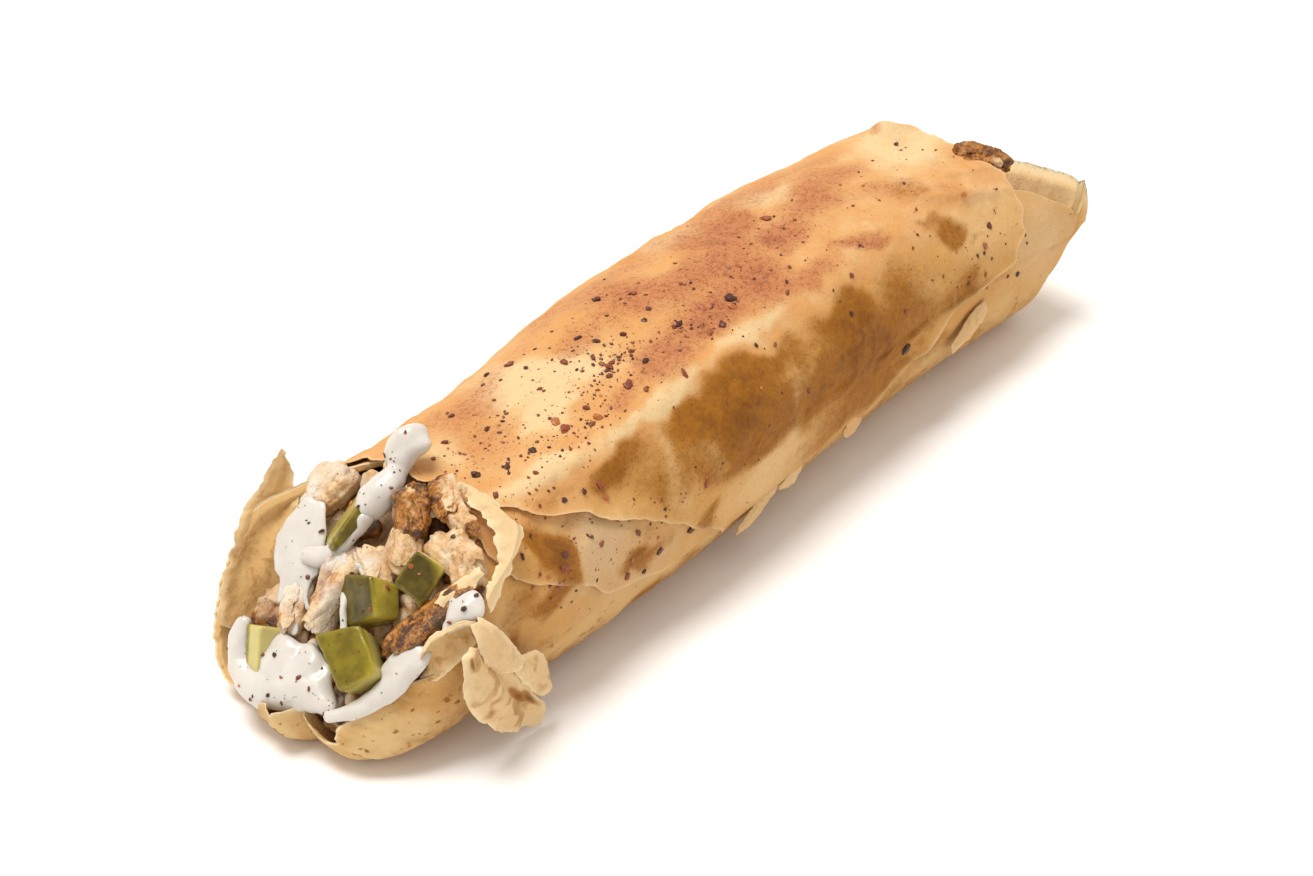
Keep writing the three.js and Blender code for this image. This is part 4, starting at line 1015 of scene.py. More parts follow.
# Sauce: runs of blobs (x, y, z, radius) that melt into each other
SAUCES = {
    "sauce_top": [
        [
            (-56.2, 4.0, 46.4, 2.1), (-58.4, 4.6, 45.8, 3.2), (-60.4, 4.8, 44.0, 2.7),
            (-61.8, 3.6, 42.4, 1.9), (-63.4, 3.2, 41.6, 1.9), (-65.3, 3.0, 40.9, 2.5),
            (-67.4, 4.0, 38.8, 3.1), (-69.3, 4.8, 37.0, 2.6),
        ],
        [(-58.4, 4.6, 45.8, 2.4), (-57.4, 1.4, 46.2, 1.7)],
    ],
    "sauce_pickle": [
        [
            (-70.6, 3.6, 36.4, 1.9), (-72.6, 4.4, 34.2, 1.7), (-74.6, 5.6, 31.8, 1.7),
            (-76.2, 6.6, 30.0, 1.8),
        ],
        [
            (-76.2, 6.6, 30.0, 1.8), (-77.2, 4.6, 29.4, 1.8), (-77.4, 2.2, 29.6, 1.7),
            (-76.6, -0.4, 30.4, 1.4),
        ],
        [(-76.2, 6.6, 30.0, 1.8), (-77.4, 9, 28.8, 1.9), (-78, 11.6, 28.2, 1.9)],
    ],
    "sauce_left": [
        [
            (-71.8, 17.4, 33.6, 1.7), (-74, 16.2, 31.6, 2.5), (-76.4, 14.6, 29.2, 3.1),
            (-78.6, 13, 26.8, 3.1), (-80.6, 11.4, 24.8, 2.5), (-82.4, 9.8, 23, 1.7),
            (-84.4, 8.9, 21.6, 1.0), (-86, 7.8, 20, 0.85), (-87.2, 7.0, 18.6, 1.0),
        ],
        [(-71.8, 14.6, 34, 1.6), (-74.4, 13, 31.6, 2.1), (-77, 11.4, 29, 2.4), (-79.6, 9.4, 26.4, 1.4)],
        [(-79.6, 15, 25.2, 2.0), (-82.6, 13.8, 22, 1.2), (-84, 13.4, 20.6, 0.8)],
        [(-74.8, 18, 30.6, 2.2), (-78, 17.4, 27.2, 2.2), (-80.4, 16.4, 24.6, 1.5)],
        [(-80.2, 10.4, 26.4, 1.4), (-82.6, 8.6, 24.4, 0.9), (-84.2, 6.6, 22.6, 0.7)],
    ],
    "sauce_pool": [
        [
            (-88.6, 18.2, 16.6, 1.6), (-90.4, 17.8, 13.8, 2.1), (-92.6, 16.2, 11.4, 2.3),
            (-94.2, 13.6, 9.8, 2.3), (-94.9, 10.6, 9.0, 2.6), (-94.8, 6.8, 9.5, 3.0),
            (-93.9, 2.8, 10.7, 3.3), (-92.8, -0.8, 12.0, 3.0), (-92.6, -4.4, 12.2, 2.4),
            (-93.2, -7.0, 11.8, 1.8),
        ],
        [
            (-94.6, 6.8, 9.7, 2.9), (-91.6, 6.2, 13.2, 3.1), (-89.6, 6.4, 15.4, 2.6),
            (-88.6, 9.4, 16.6, 1.7),
        ],
        [
            (-93.6, 2.8, 11.0, 3.2), (-90.8, 1.6, 14.0, 3.2), (-89.2, 0.6, 15.8, 2.6),
            (-88.2, 3.2, 16.8, 2.1),
        ],
        [(-92, 8.8, 12.6, 2.4), (-90, 9, 15, 2.2)],
        [(-90, 4, 15, 2.8), (-91.6, -2.2, 13.2, 2.8), (-89.2, -2.6, 15.8, 1.5)],
    ],
    "sauce_drip": [
        [
            (-94, -8.2, 10.9, 1.5), (-92.8, -10.9, 12.4, 1.7), (-90.9, -13.5, 14.3, 2.0),
            (-88.6, -15.6, 16.6, 2.1), (-86.6, -17.2, 18.7, 2.2), (-84.8, -18.6, 20.9, 2.2),
            (-83.2, -19.6, 22.9, 2.0), (-82, -20.6, 24.4, 1.5),
        ],
        [(-86.4, -14.6, 20.2, 1.5), (-84.2, -16.4, 22.6, 1.8), (-82.2, -18.6, 24.6, 1.5)],
    ],
    "sauce_right": [
        [
            (-78.6, -22.2, 28.4, 1.2), (-76.8, -23.6, 30.2, 1.8), (-75.2, -24.2, 31.8, 2.3),
            (-73.6, -24.6, 33.2, 1.9),
        ],
        [(-75.2, -24.2, 31.8, 2.2), (-74, -26.0, 32.2, 1.8)],
        [(-76.8, -23.4, 30.4, 1.7), (-75, -21.6, 32.6, 1.1)],
    ],
    "sauce_streak": [
        [
            (-80.6, -0.4, 28.2, 0.8), (-82.2, -1.2, 26.8, 1.1), (-84.2, -2.8, 24.8, 1.0),
            (-86.4, -4.4, 22.6, 1.1),
        ],
    ],
}
# How the blobs melt: the size of the skin's mesh, and the swelling that gives a blob its radius back
MELT_RESOLUTION, MELT_THRESHOLD, BLOB_SWELL = 0.42, 0.6, 1 / 0.62
# How far from the thick sauce thin sauce reaches over the chicken
COAT_REACH = 3.6
# Pieces of chicken that have more thin sauce on them
COATED = {"meat_back_left": 1.5, "meat_curved_left": 0.9, "meat_left_strip": 0.8, "meat_pale_middle": 0.6}
# How much some of them sink flat against the open face
FLATTENED = {"sauce_left": 0.62, "sauce_pool": 0.35, "sauce_drip": 0.3, "sauce_right": 0.3}


def sauce_piece(name, runs, material):
    """Thick white sauce: blobs along each run, melted into one smooth skin."""
    melt = bpy.data.metaballs.new("melt_" + name)
    melt.resolution = melt.render_resolution = MELT_RESOLUTION
    melt.threshold = MELT_THRESHOLD
    temp = bpy.data.objects.new("melt_" + name, melt)
    bpy.context.scene.collection.objects.link(temp)
    for run in runs:
        keys = np.arange(len(run))
        steps = np.linspace(0, len(run) - 1, 3 * (len(run) - 1) + 1)
        along_run = [along(list(zip(keys, [blob[k] for blob in run])), steps) for k in range(4)]
        for x, y, z, radius in zip(*along_run):
            wobble = 1 + 0.1 * float(noise(np.array([x, y, z]), 3, 7))
            ball = melt.elements.new()
            ball.co = (x, y, max(z, radius * 0.8))
            ball.radius = radius * wobble * BLOB_SWELL
            ball.stiffness = 1.0
    bpy.context.view_layer.update()
    done = temp.evaluated_get(bpy.context.evaluated_depsgraph_get()).to_mesh()
    points = np.array([v.co[:] for v in done.vertices])
    faces = [list(p.vertices) for p in done.polygons]
    bpy.data.objects.remove(temp)
    bpy.data.metaballs.remove(melt)
    uneven = [0.42 * noise(points, 3.6, 13 + k) + 0.2 * noise(points, 1.8, 3 + k) for k in range(3)]
    points = points + np.stack(uneven, -1)
    if name in FLATTENED:
        lean = unit(OPEN_FACE)
        depth = (points - points.mean(axis=0)) @ lean
        points = points - FLATTENED[name] * depth[:, None] * lean
    piece = make_object(name + "_look", points, faces, material)
    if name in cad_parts:
        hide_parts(name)
    return piece


def sauce_coat(points):
    """How much thin sauce covers each point, from 0 to 1, by how near it lies to the thick sauce."""
    blobs = np.array([blob for runs in SAUCES.values() for run in runs for blob in run])
    gap = np.full(points.shape[:-1], 99.0)
    for x, y, z, radius in blobs:
        gap = np.minimum(gap, np.linalg.norm(points - np.array([x, y, z]), axis=-1) - radius)
    return smooth_step(COAT_REACH, 0.4, gap + 1.6 * noise(points, 3.2, 61) + 0.7 * noise(points, 1.3, 62))


def filling_core(material):
    """The mass of shaved chicken inside the roll, with a craggy open face sloping back to the top."""
    angle = np.linspace(-90, 270, CORE_COLUMNS, endpoint=False)[None, :]
    stretches = [np.linspace(0, 0.45, 70), np.linspace(0.46, 0.8, 16), np.linspace(0.81, 1, 24)]
    tube = body_point(np.concatenate(stretches)[:, None], angle, CORE_DEPTH)
    first, last = tube[:1], tube[-1:]
    shares = np.linspace(0.01, 0.99, 46)[:, None, None]
    near = first.mean(axis=1, keepdims=True) * (1 - shares) + first * shares
    far = (last.mean(axis=1, keepdims=True) * (1 - shares) + last * shares)[::-1]
    rings = np.concatenate([near, tube, far])
    rings[..., 0] = np.maximum(rings[..., 0], rings[..., 2] + SLOPE + 4)
    sunk = smooth_step(93, 98, rings[..., 0]) * smooth_step(1, -6, rings[..., 1])
    rings[..., 2] = mix(rings[..., 2], np.minimum(rings[..., 2], 24), sunk)
    open_face = smooth_step(-1.5, 0.5, rings[..., 2] + SLOPE + 4 - rings[..., 0] + 1)
    open_face = np.maximum(open_face, smooth_step(96, 100, rings[..., 0]))
    crags = 1.3 * noise(rings, 4.2, 5) + 0.8 * noise(rings, 2.0, 6) + 0.4 * noise(rings, 0.9, 7)
    push = unit(OPEN_FACE)
    rings = rings + open_face[..., None] * (crags - 0.4)[..., None] * push
    rings[..., 2] = np.maximum(rings[..., 2], WALL_TOP)
    faces = grid_faces(len(rings), CORE_COLUMNS, flip=True, wrap=True)
    values = {
        "crust": smooth_step(-0.1, 0.8, noise(rings, 4, 9) + 0.4 * noise(rings, 1.5, 10)),
        # deep is painted shade over the whole core, darkest in the hollows between the crags
        "deep": np.clip(0.75 - 0.5 * crags, 0, 1),
        "coat": sauce_coat(rings),
    }
    piece = make_object("filling_core_look", rings, faces, material, values)
    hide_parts("filling_core")
    return piece


def joined(parts):
    """One set of points and faces out of several, and which part each point is from."""
    points, faces, owner, start = [], [], [], 0
    for index, (part_points, part_faces) in enumerate(parts):
        points.append(part_points)
        faces.append(part_faces + start)
        owner.append(np.full(len(part_points), index))
        start += len(part_points)
    return np.concatenate(points), np.concatenate(faces), np.concatenate(owner)


def loose_shreds(material, rng):
    """Small torn shreds of chicken pressed in between the larger pieces at both ends."""
    ball = ball_points(3)
    parts, crusts = [], []
    for index in range(64):
        y = rng.uniform(-20, 17)
        z = rng.uniform(9, 41)
        if (y / 21) ** 2 + ((z - 22) / 20) ** 2 > 1:
            continue
        x = z + SLOPE + 2.2 + rng.uniform(-0.6, 1.4)
        form = shred_form((x, y, z), rng, index)
        parts.append(shred_points(form, ball, index))
        crusts.append(rng.uniform(0, 1))
    for index in range(12):
        spot = (rng.uniform(98, 103), rng.uniform(-4, 9), rng.uniform(31, 36))
        parts.append(shred_points(shred_form(spot, rng, index), ball, index + 90))
        crusts.append(rng.uniform(0.2, 1))
    points, faces, owner = joined(parts)
    crust = np.array(crusts)[owner]
    values = {
        "crust": smooth_step(0.3, 0.8, crust + 0.3 * noise(points, 2, 3)),
        "deep": smooth_step(0.2, -0.5, noise(points, 2.4, 8)) * 0.5,
        "coat": sauce_coat(points),
    }
    piece = make_object("chicken_shreds", points, faces, material, values)
    return piece


def shred_form(spot, rng, index):
    """A small shred lying at any turn in the open face."""
    lean = unit(OPEN_FACE)
    flat = unit(np.cross(lean, rng.normal(size=3)))
    reach = flat * rng.uniform(1.6, 4.0)
    spot = np.array(spot, float)
    return dict(
        a=spot - reach, b=spot + reach, wide=rng.uniform(2, 4), thick=rng.uniform(1.6, 3),
        turn=rng.uniform(-40, 40), curl=rng.uniform(0, 1.2), seed=index,
    )


def shred_points(form, ball, seed):
    points, faces = ball
    size = lump_frame(form)[4]
    r = np.sum(np.abs(points) ** 2.6, axis=1) ** (-1 / 2.6)
    local = points * r[:, None] * size
    grain = local * np.array([0.35, 1, 1])
    local = local + points * (0.5 * noise(local, 1.8, seed) + 0.25 * noise(grain, 0.7, seed + 5))[:, None]
    return place_lump(form, local), faces


# Dried pepper on the crust: (x, angle, length across)
FLAKES = [
    (-23, 121.5, 2.2), (-23, 111.5, 1.5), (-27, 127.5, 1.4), (-30, 124.5, 1.2), (-41.5, 118.6, 1.6),
    (-41, 122.5, 1.2), (-53, 113, 1.3), (-51, 110.5, 1.2), (-49, 105.5, 1.8), (-54, 100, 1.4),
    (-41, 97.5, 1.5), (-26.5, 95.5, 1.3), (-18, 98, 2), (-10.7, 103.5, 1.8), (-9.7, 94.5, 1.8),
    (-14, 88, 1.8), (-5, 87, 1.8), (4, 89, 1.5), (0.8, 85.6, 1.6), (1.2, 114.5, 2.6), (7.2, 104, 1.6),
    (-14.4, 82, 1.5), (-14, 78, 2), (-12.8, 79, 1.4), (-15, 77, 1.3), (-16, 74, 1.8), (-7.7, 77, 1.4),
    (-53.2, 75, 2.2), (-48, 68, 1.8), (-41.3, 67.7, 2.2), (-32.2, 73.5, 2.4), (-32.6, 67, 2.4),
    (-25.8, 68.3, 1.8), (-28.5, 60.2, 1.7), (-26.5, 61, 2.2), (-15.7, 64, 2.4), (-8.3, 67.6, 1.8),
    (-14.3, 57, 1.8), (-6, 52, 2), (4.6, 72, 2), (12, 71.6, 2.4), (18.4, 66.6, 3), (16.2, 62.3, 2.2),
    (7.2, 59.3, 1.8), (10.6, 58.6, 2.2), (-57, 64, 1.6), (-55.3, 59, 1.8), (-46.4, 57, 1.6),
    (-58, 47, 2.8), (-44.8, 41.6, 1.4), (-39.8, 39.6, 1.6), (-35.6, 37.6, 2), (-35.4, 31.6, 1.8),
    (12.4, 43.6, 1.2), (16.8, 39.3, 1.4), (-42.8, 22.6, 1.4), (-41, 17.3, 1.4), (-30.8, 9.6, 1.8),
    (-52.2, 19.6, 2), (-50.4, 23.6, 1.8), (-53, 13, 2), (-61, 25.6, 1.6), (-58.7, 32, 1.5),
    (-34.5, -7.4, 1.8), (-25.2, -7, 2), (-29.4, -12, 1.4), (-15.9, -7.4, 2.4), (-12.6, 10.6, 1.6),
    (21.2, 15.3, 1.6), (46.8, 97, 2.2), (92.4, 104, 2), (28.8, 53, 1.6), (44.8, 43.6, 1.6),
    (39.3, 31.3, 1.4), (88.4, 30.3, 2), (84.8, 23, 1.8), (85.7, 48.3, 1.4), (55.2, 18, 1.4),
    (77.2, 11.6, 1.3), (83.2, 10.6, 1.2), (91, 7, 2.6), (55.2, 0, 2.6), (96.4, -2.7, 1.8),
]


def crust_lift(x, angle):
    """How high the topmost layer of bread lies at a place on the roll."""
    near, far = along(OUTER_NEAR, angle), along(OUTER_FAR, angle)
    middle = along(MIDDLE_NEAR, angle)
    inset = 0.8
    on_outer = (x > near + inset) & (x < far - inset) & (angle > OUTER_SPAN[0] + 1)
    on_middle = (x > middle + inset) & (x < near) & (angle < MIDDLE_SPAN[1])
    outer = outer_lift(x, angle, x - near, far - x)
    lower = middle_lift(x, angle, x - middle, 99)
    return np.where(on_outer, outer, np.where(on_middle, lower, body_lift(angle)))


def chip(ball, size, seat, out, rng):
    """One angular flake lying on the surface at seat, facing out."""
    points, faces = ball
    jagged = points * (1 + 0.28 * rng.uniform(-1, 1, size=(len(points), 1)))
    stretch = np.array([rng.uniform(0.45, 0.62), rng.uniform(0.3, 0.45), rng.uniform(0.14, 0.28)]) * size
    local = jagged * stretch
    spin = rng.uniform(0, 2 * math.pi)
    helper = np.array([1.0, 0, 0]) if abs(out[0]) < 0.8 else np.array([0, 1.0, 0])
    u = unit(np.cross(out, helper))
    v = np.cross(out, u)
    a = u * math.cos(spin) + v * math.sin(spin)
    b = np.cross(out, a)
    return seat + local[:, :1] * a + local[:, 1:2] * b + (local[:, 2:3] + stretch[2] * 0.55) * out, faces


def surface_at(x, angle):
    """The places on the topmost bread, and the directions out of it."""
    seat = roll_point(x, angle, crust_lift(x, angle))
    out = unit(plain_point(x, angle, 2.0) - plain_point(x, angle, 0))
    return seat, out


def scattered(name, parts, material, rng):
    """One object out of many chips, each with a tone of its own."""
    points, faces, owner = joined(parts)
    tone = rng.uniform(0, 1, len(parts))[owner]
    return make_object(name, points, faces, material, {"tone": tone}, smooth=False)


def pepper_flakes(material, rng):
    x, angle, sizes = np.array(FLAKES, float).T
    seats, outs = surface_at(x, angle)
    ball = ball_points(2)
    parts = [chip(ball, size * 0.82, seat, out, rng) for size, seat, out in zip(sizes, seats, outs)]
    piece = scattered("pepper_flakes", parts, material, rng)
    return piece


# Where fine specks gather on the crust: (x, angle, length, spread, how many)
SPECK_CLUSTERS = [
    (-18, 76, 16, 14, 190), (8, 68, 14, 10, 110), (-45, 85, 16, 22, 150), (-35, 60, 18, 10, 110),
    (-12, 100, 20, 16, 110), (30, 80, 26, 26, 110), (-50, 20, 10, 18, 90), (-20, 10, 24, 14, 80),
    (70, 70, 26, 40, 90), (85, 20, 16, 18, 70), (-56, 50, 6, 10, 50), (0, 60, 60, 60, 140),
    (-12, 78, 4, 4, 60),
]


def fine_specks(material, rng):
    x, angle = [], []
    for cx, ca, length, spread, count in SPECK_CLUSTERS:
        x.append(rng.normal(cx, length * 0.6, count))
        angle.append(rng.normal(ca, spread * 0.6, count))
    x, angle = np.concatenate(x), np.concatenate(angle)
    keep = (x > -62) & (x < 114) & (angle > -18) & (angle < 175)
    x, angle = x[keep], angle[keep]
    seats, outs = surface_at(x, angle)
    ball = ball_points(1)
    sizes = 0.18 + 0.6 * rng.uniform(0, 1, len(x)) ** 3.5
    parts = [chip(ball, size * 1.25, seat, out, rng) for size, seat, out in zip(sizes, seats, outs)]
    piece = scattered("fine_specks", parts, material, rng)
    return piece


def specks_on_filling(pieces, material, rng):
    """Fine seasoning dropped on whatever lies uppermost at the open end."""
    vertices, polygons = [], []
    for piece in pieces:
        start = len(vertices)
        vertices.extend(v.co[:] for v in piece.data.vertices)
        polygons.extend([start + k for k in p.vertices] for p in piece.data.polygons)
    tree = BVHTree.FromPolygons(vertices, polygons)
    lean = unit(OPEN_FACE)
    ball = ball_points(1)
    parts = []
    for _ in range(300):
        y = rng.uniform(-26, 20)
        z = rng.uniform(5, 46)
        start = np.array([z + SLOPE, y, z]) + lean * 22 + rng.normal(0, 1, 3)
        hit, normal, _, _ = tree.ray_cast(Vector((start + ORIGIN_SHIFT) * METRES), Vector(-lean))
        if hit is None:
            continue
        seat = np.array(hit) / METRES - ORIGIN_SHIFT
        size = 0.22 + 0.9 * rng.uniform() ** 3.5
        parts.append(chip(ball, size * 1.2, seat, unit(np.array(normal)), rng))
    piece = scattered("filling_specks", parts, material, rng)
    return piece


# Materials


def linear(red, green, blue):
    """A colour of 0 to 255 a channel as linear light."""
    channels = [c / 255 for c in (red, green, blue)]
    return [c / 12.92 if c <= 0.04045 else ((c + 0.055) / 1.055) ** 2.4 for c in channels] + [1.0]


class Shader:
    """A material being built, with short names for the nodes it is made of."""

    def __init__(self, name):
        self.material = bpy.data.materials.new(name)
        self.material.use_nodes = True
        self.nodes = self.material.node_tree.nodes
        self.links = self.material.node_tree.links
        self.surface = self.nodes["Principled BSDF"]
        self.place = self.nodes.new("ShaderNodeTexCoord").outputs["Object"]
        self.color = None

    def put(self, socket, value):
        if isinstance(value, bpy.types.NodeSocket):
            self.links.new(value, socket)
        else:
            socket.default_value = value

    def attribute(self, name):
        node = self.nodes.new("ShaderNodeAttribute")
        node.attribute_name = name
        return node.outputs["Fac"]

    def noise(self, size_mm, detail=3, roughness=0.55, distortion=0.0, stretch=None):
        node = self.nodes.new("ShaderNodeTexNoise")
        node.inputs["Scale"].default_value = 1000 / size_mm
        node.inputs["Detail"].default_value = detail
        node.inputs["Roughness"].default_value = roughness
        node.inputs["Distortion"].default_value = distortion
        place = self.place
        if stretch:
            mapping = self.nodes.new("ShaderNodeMapping")
            mapping.inputs["Scale"].default_value = stretch
            self.links.new(place, mapping.inputs["Vector"])
            place = mapping.outputs["Vector"]
        self.links.new(place, node.inputs["Vector"])
        return node.outputs["Fac"]

    def math(self, operation, a, b, clamp=False):
        node = self.nodes.new("ShaderNodeMath")
        node.operation = operation
        node.use_clamp = clamp
        self.put(node.inputs[0], a)
        self.put(node.inputs[1], b)
        return node.outputs[0]

    def times(self, a, b, clamp=False):
        return self.math("MULTIPLY", a, b, clamp)

    def plus(self, a, b):
        return self.math("ADD", a, b)

    def less(self, a, b):
        return self.math("SUBTRACT", a, b)

    def step(self, value, low, high):
        node = self.nodes.new("ShaderNodeMapRange")
        node.interpolation_type = "SMOOTHSTEP"
        self.put(node.inputs["Value"], value)
        node.inputs["From Min"].default_value = low
        node.inputs["From Max"].default_value = high
        return node.outputs["Result"]

    def blend(self, share, a, b):
        node = self.nodes.new("ShaderNodeMix")
        node.data_type = "RGBA"
        self.put(node.inputs[0], share)
        self.put(node.inputs[6], a)
        self.put(node.inputs[7], b)
        return node.outputs[2]

    def tint(self, share, rgb, amount=1.0):
        """Lays a colour over what is there so far, as strongly as share times amount."""
        self.color = self.blend(self.times(share, amount), self.color, linear(*rgb))

    def bump(self, height, depth_mm, strength=1.0):
        node = self.nodes.new("ShaderNodeBump")
        node.inputs["Strength"].default_value = strength
        node.inputs["Distance"].default_value = depth_mm * METRES
        self.links.new(height, node.inputs["Height"])
        self.links.new(node.outputs["Normal"], self.surface.inputs["Normal"])

    def finish(self, roughness, subsurface, radius_mm, specular):
        self.put(self.surface.inputs["Base Color"], self.color)
        self.put(self.surface.inputs["Roughness"], roughness)
        self.surface.inputs["Specular IOR Level"].default_value = specular
        self.surface.inputs["Subsurface Weight"].default_value = subsurface
        self.surface.inputs["Subsurface Radius"].default_value = (1.0, 0.6, 0.35)
        self.surface.inputs["Subsurface Scale"].default_value = radius_mm * METRES
        return self.material


def bread_material():
    s = Shader("flatbread_crust")
    large, medium = s.noise(12, 4, 0.6), s.noise(3.6, 5, 0.65, 0.5)
    fine, grain = s.noise(1.2, 4, 0.65), s.noise(0.5, 3, 0.6)
    pale, red, brown, side = map(s.attribute, ("pale", "red", "brown", "side"))
    grey, edge, inner, speckled = map(s.attribute, ("grey", "edge", "inner", "speckled"))
    # the baked dough, paler in places and on both sides
    uneven = s.plus(s.times(large, 0.9), s.times(medium, 0.6))
    paleness = s.step(s.plus(uneven, s.times(pale, 0.8)), 0.62, 1.4)
    s.color = s.blend(paleness, linear(208, 152, 92), linear(220, 190, 142))
    s.tint(side, (198, 150, 82), 0.75)
    s.tint(s.times(side, pale), (222, 184, 130), 0.8)
    # red and brown patches; on the lower side of the body the brown ones are painted shade as well as
    # browning
    spread = s.plus(s.times(medium, 1.1), s.times(fine, 0.35))
    reddened = s.step(s.times(red, s.plus(spread, 0.25)), 0.12, 0.85)
    s.tint(reddened, (182, 116, 76), 0.9)
    toasted = s.step(s.times(brown, s.plus(spread, 0.3)), 0.1, 0.72)
    s.tint(toasted, (154, 98, 18), 0.97)
    dark = s.step(s.times(brown, s.plus(s.times(spread, 0.9), 0.1)), 0.5, 1.0)
    s.tint(dark, (104, 56, 2), 0.92)
    s.tint(s.times(grey, s.less(0.85, s.times(toasted, 0.75)), True), (204, 172, 132))
    # freckles and scorched spots
    mottle = s.step(s.plus(s.times(grain, 0.6), s.times(fine, 0.4)), 0.47, 0.62)
    toast = s.plus(s.times(toasted, 0.5), s.times(reddened, 0.6))
    s.tint(s.times(mottle, s.plus(toast, 0.1)), (136, 76, 32))
    scorched = s.step(s.times(red, s.plus(medium, s.times(fine, 0.5))), 0.6, 0.9)
    s.tint(scorched, (142, 78, 50), 0.6)
    # the speckled skin of the lower turn
    s.tint(s.times(speckled, s.step(large, 0.3, 0.7)), (214, 182, 128), 0.9)
    dashes = s.step(s.noise(1.6, 2, 0.5, 0.2, (0.5, 1.0, 1.0)), 0.6, 0.7)
    s.tint(s.times(dashes, speckled), (150, 98, 40))
    # the inner face and the torn rims; on the ribbon the inner colour is painted shade on the lower part of
    # its arch
    s.tint(s.times(inner, 0.6, True), (212, 174, 116))
    blots = s.plus(s.times(medium, 0.7), s.times(fine, 0.3))
    s.tint(s.times(inner, s.step(blots, 0.52, 0.64), True), (176, 116, 44), 0.6)
    s.tint(s.times(edge, s.less(0.85, s.times(brown, 0.5)), True), (238, 216, 176))
    height = s.plus(s.times(fine, 0.7), s.times(grain, 0.3))
    s.bump(s.plus(height, s.times(medium, 1.6)), 0.35, 0.6)
    return s.finish(s.plus(s.times(fine, 0.25), 0.55), 0.08, 0.8, 0.2)


def chicken_material():
    s = Shader("roast_chicken")
    crust, deep, coating = map(s.attribute, ("crust", "deep", "coat"))
    large, medium = s.noise(5.0, 4, 0.6), s.noise(2.4, 4, 0.6)
    fine, grain = s.noise(0.8, 4, 0.65), s.noise(0.35, 3, 0.6)
    fibre = s.noise(1.4, 3, 0.6, 0.3, (0.35, 1.0, 1.0))
    s.color = s.blend(s.step(medium, 0.35, 0.65), linear(246, 220, 182), linear(232, 188, 134))
    s.tint(s.step(fibre, 0.5, 0.7), (200, 144, 82), 0.4)
    stains = s.plus(s.times(large, 0.6), s.times(fine, 0.5))
    s.tint(s.step(stains, 0.57, 0.7), (190, 124, 48), 0.65)
    browned = s.step(s.times(crust, s.plus(fine, 0.6)), 0.25, 0.9)
    golden = s.blend(s.step(fine, 0.35, 0.65), linear(206, 142, 58), linear(150, 88, 26))
    s.color = s.blend(browned, s.color, golden)
    spice = s.step(s.plus(s.times(fine, 0.6), s.times(medium, 0.5)), 0.58, 0.66)
    s.tint(s.times(spice, crust), (110, 40, 26), 0.75)
    charred = s.step(s.times(crust, s.plus(medium, s.times(grain, 0.6))), 0.66, 0.9)
    s.tint(charred, (62, 32, 12))
    # painted shade in the hollows, under the slices and over the core; on the loose shreds it is random
    # darker tone
    s.tint(deep, (110, 66, 28), 0.5)
    coat = s.times(coating, s.step(s.plus(fine, large), 0.6, 1.1))
    s.tint(coat, (232, 222, 206), 0.9)
    s.bump(s.plus(s.plus(fine, s.times(grain, 0.5)), s.times(fibre, 0.6)), 0.45, 0.8)
    return s.finish(s.less(0.42, s.times(coat, 0.2)), 0.12, 1.2, 0.45)


def pickle_material():
    s = Shader("pickled_cucumber")
    skin, rim, flesh = map(s.attribute, ("skin", "rim", "flesh"))
    medium, fine = s.noise(3.0, 3), s.noise(0.9, 3)
    s.color = s.blend(s.step(medium, 0.3, 0.75), linear(164, 146, 34), linear(134, 118, 22))
    s.tint(s.step(fine, 0.55, 0.8), (196, 178, 80), 0.25)
    s.tint(flesh, (224, 214, 150))
    dark = s.plus(s.times(s.step(medium, 0.2, 0.8), 0.25), 0.72)
    s.tint(s.times(skin, dark, True), (60, 49, 1))
    # painted highlight: the edges of the cut faces lighter, as if catching the light
    s.tint(rim, (196, 180, 80), 0.4)
    s.bump(fine, 0.2, 0.4)
    return s.finish(0.2, 0.12, 1.2, 0.4)


def sauce_material():
    s = Shader("garlic_sauce")
    s.color = s.blend(s.noise(4, 2), linear(220, 216, 210), linear(200, 194, 186))
    s.bump(s.noise(1.2, 2), 0.12, 0.4)
    return s.finish(0.24, 0.35, 2.0, 0.5)


def pepper_material():
    s = Shader("dried_pepper")
    tone = s.attribute("tone")
    s.color = s.blend(s.step(tone, 0.1, 0.9), linear(66, 28, 14), linear(140, 66, 34))
    s.tint(s.step(tone, 0.86, 0.95), (176, 104, 50))
    s.bump(s.noise(0.4, 2), 0.1, 0.5)
    return s.finish(0.42, 0.0, 1.0, 0.5)


# The object

rng = np.random.default_rng(20)
BREAD = bread_material()
CHICKEN = chicken_material()
PICKLE = pickle_material()
SAUCE = sauce_material()
PEPPER = pepper_material()

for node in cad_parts.values():
    node.data.materials.clear()
    node.data.materials.append(BREAD)

bread = [bread_body(BREAD), bread_outer(BREAD), bread_middle(BREAD), bread_inner(BREAD)]
for name, form in TORN_PIECES.items():
    bread.append(torn_piece(name, form, BREAD))
for piece in bread:
    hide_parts("flatbread")

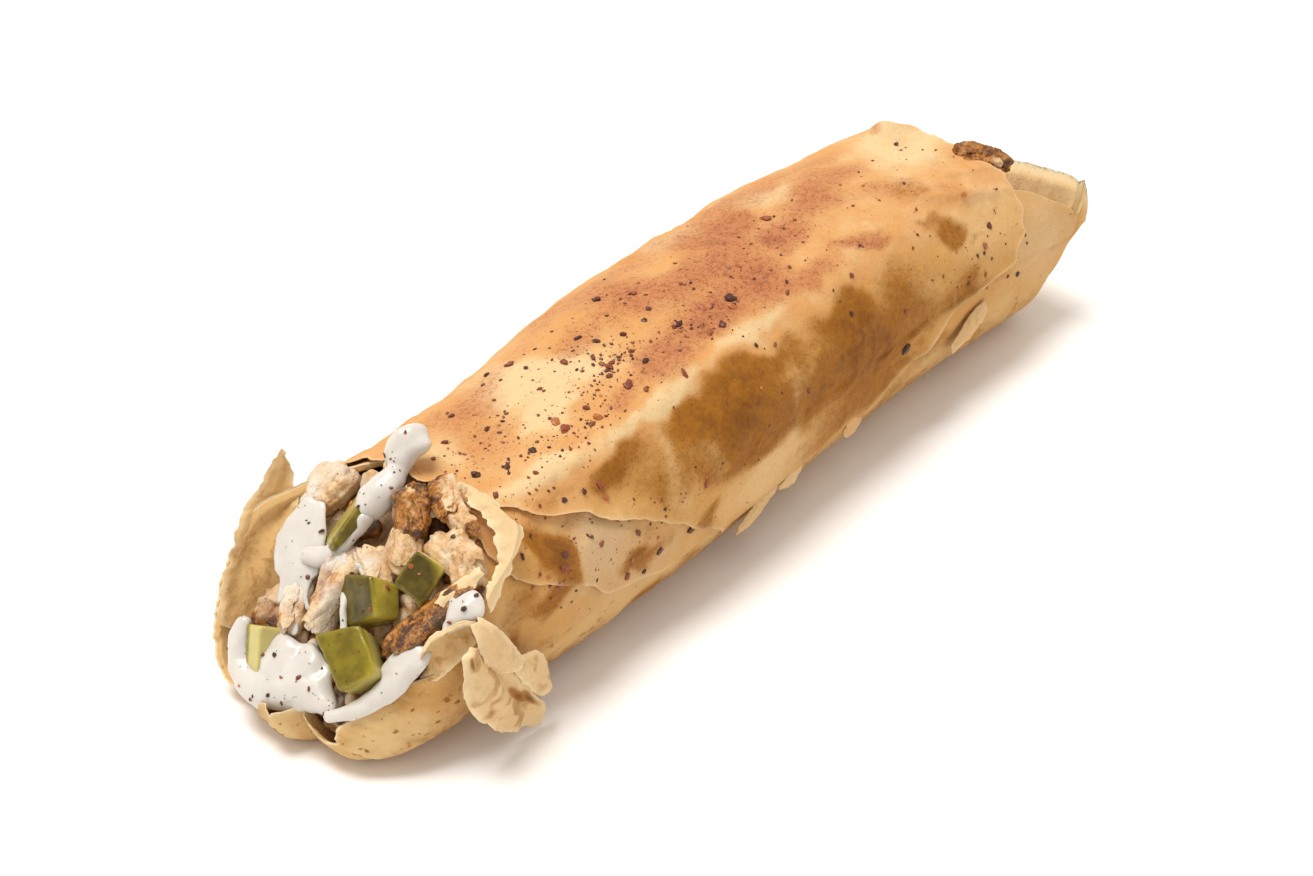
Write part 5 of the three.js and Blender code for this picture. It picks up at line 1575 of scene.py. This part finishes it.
ball = ball_points(5)
filling = [filling_core(CHICKEN), loose_shreds(CHICKEN, rng)]
for name, form in MEATS.items():
    filling.append(chicken_piece(name, form, ball, CHICKEN))
for name, form in PICKLES.items():
    filling.append(pickle_piece(name, form, ball, PICKLE))
for name, blobs in SAUCES.items():
    filling.append(sauce_piece(name, blobs, SAUCE))

pepper_flakes(PEPPER, rng)
fine_specks(PEPPER, rng)
specks_on_filling(filling, PEPPER, rng)


# Floor, light and camera


def floor():
    mesh = bpy.data.meshes.new("floor")
    half = 3.0
    corners = [(-half, -half, 0), (half, -half, 0), (half, half, 0), (-half, half, 0)]
    mesh.from_pydata(corners, [], [(0, 1, 2, 3)])
    s = Shader("white_table")
    s.surface.inputs["Base Color"].default_value = (0.95, 0.95, 0.95, 1)
    s.surface.inputs["Roughness"].default_value = 0.6
    s.surface.inputs["Specular IOR Level"].default_value = 0.1
    mesh.materials.append(s.material)
    piece = bpy.data.objects.new("floor", mesh)
    bpy.context.scene.collection.objects.link(piece)


def studio():
    world = bpy.data.worlds.new("studio")
    world.use_nodes = True
    background = world.node_tree.nodes["Background"]
    background.inputs["Color"].default_value = (1.0, 0.93, 0.85, 1)
    background.inputs["Strength"].default_value = 0.74
    bpy.context.scene.world = world
    sun = bpy.data.lights.new("sun", "SUN")
    sun.energy = 2.55
    sun.angle = math.radians(28)
    sun.color = (1.0, 0.99, 0.97)
    lamp = bpy.data.objects.new("sun", sun)
    lamp.rotation_euler = (math.radians(-13), math.radians(-6), 0)
    bpy.context.scene.collection.objects.link(lamp)


def camera():
    azimuth, elevation, distance = math.radians(-50), math.radians(34.5), 0.7
    target = (np.array([6, 0, 15]) + ORIGIN_SHIFT) * METRES
    level = math.cos(elevation)
    toward = np.array([math.sin(azimuth) * level, -math.cos(azimuth) * level, math.sin(elevation)])
    data = bpy.data.cameras.new("camera")
    data.lens = 98
    data.sensor_width = 36
    data.clip_start = 0.01
    data.clip_end = 20
    item = bpy.data.objects.new("camera", data)
    item.location = Vector(target + toward * distance)
    item.rotation_euler = (-Vector(toward)).to_track_quat("-Z", "Y").to_euler()
    bpy.context.scene.collection.objects.link(item)
    bpy.context.scene.camera = item


floor()
studio()
camera()
bpy.context.scene.view_settings.view_transform = "Standard"
bpy.context.view_layer.update()
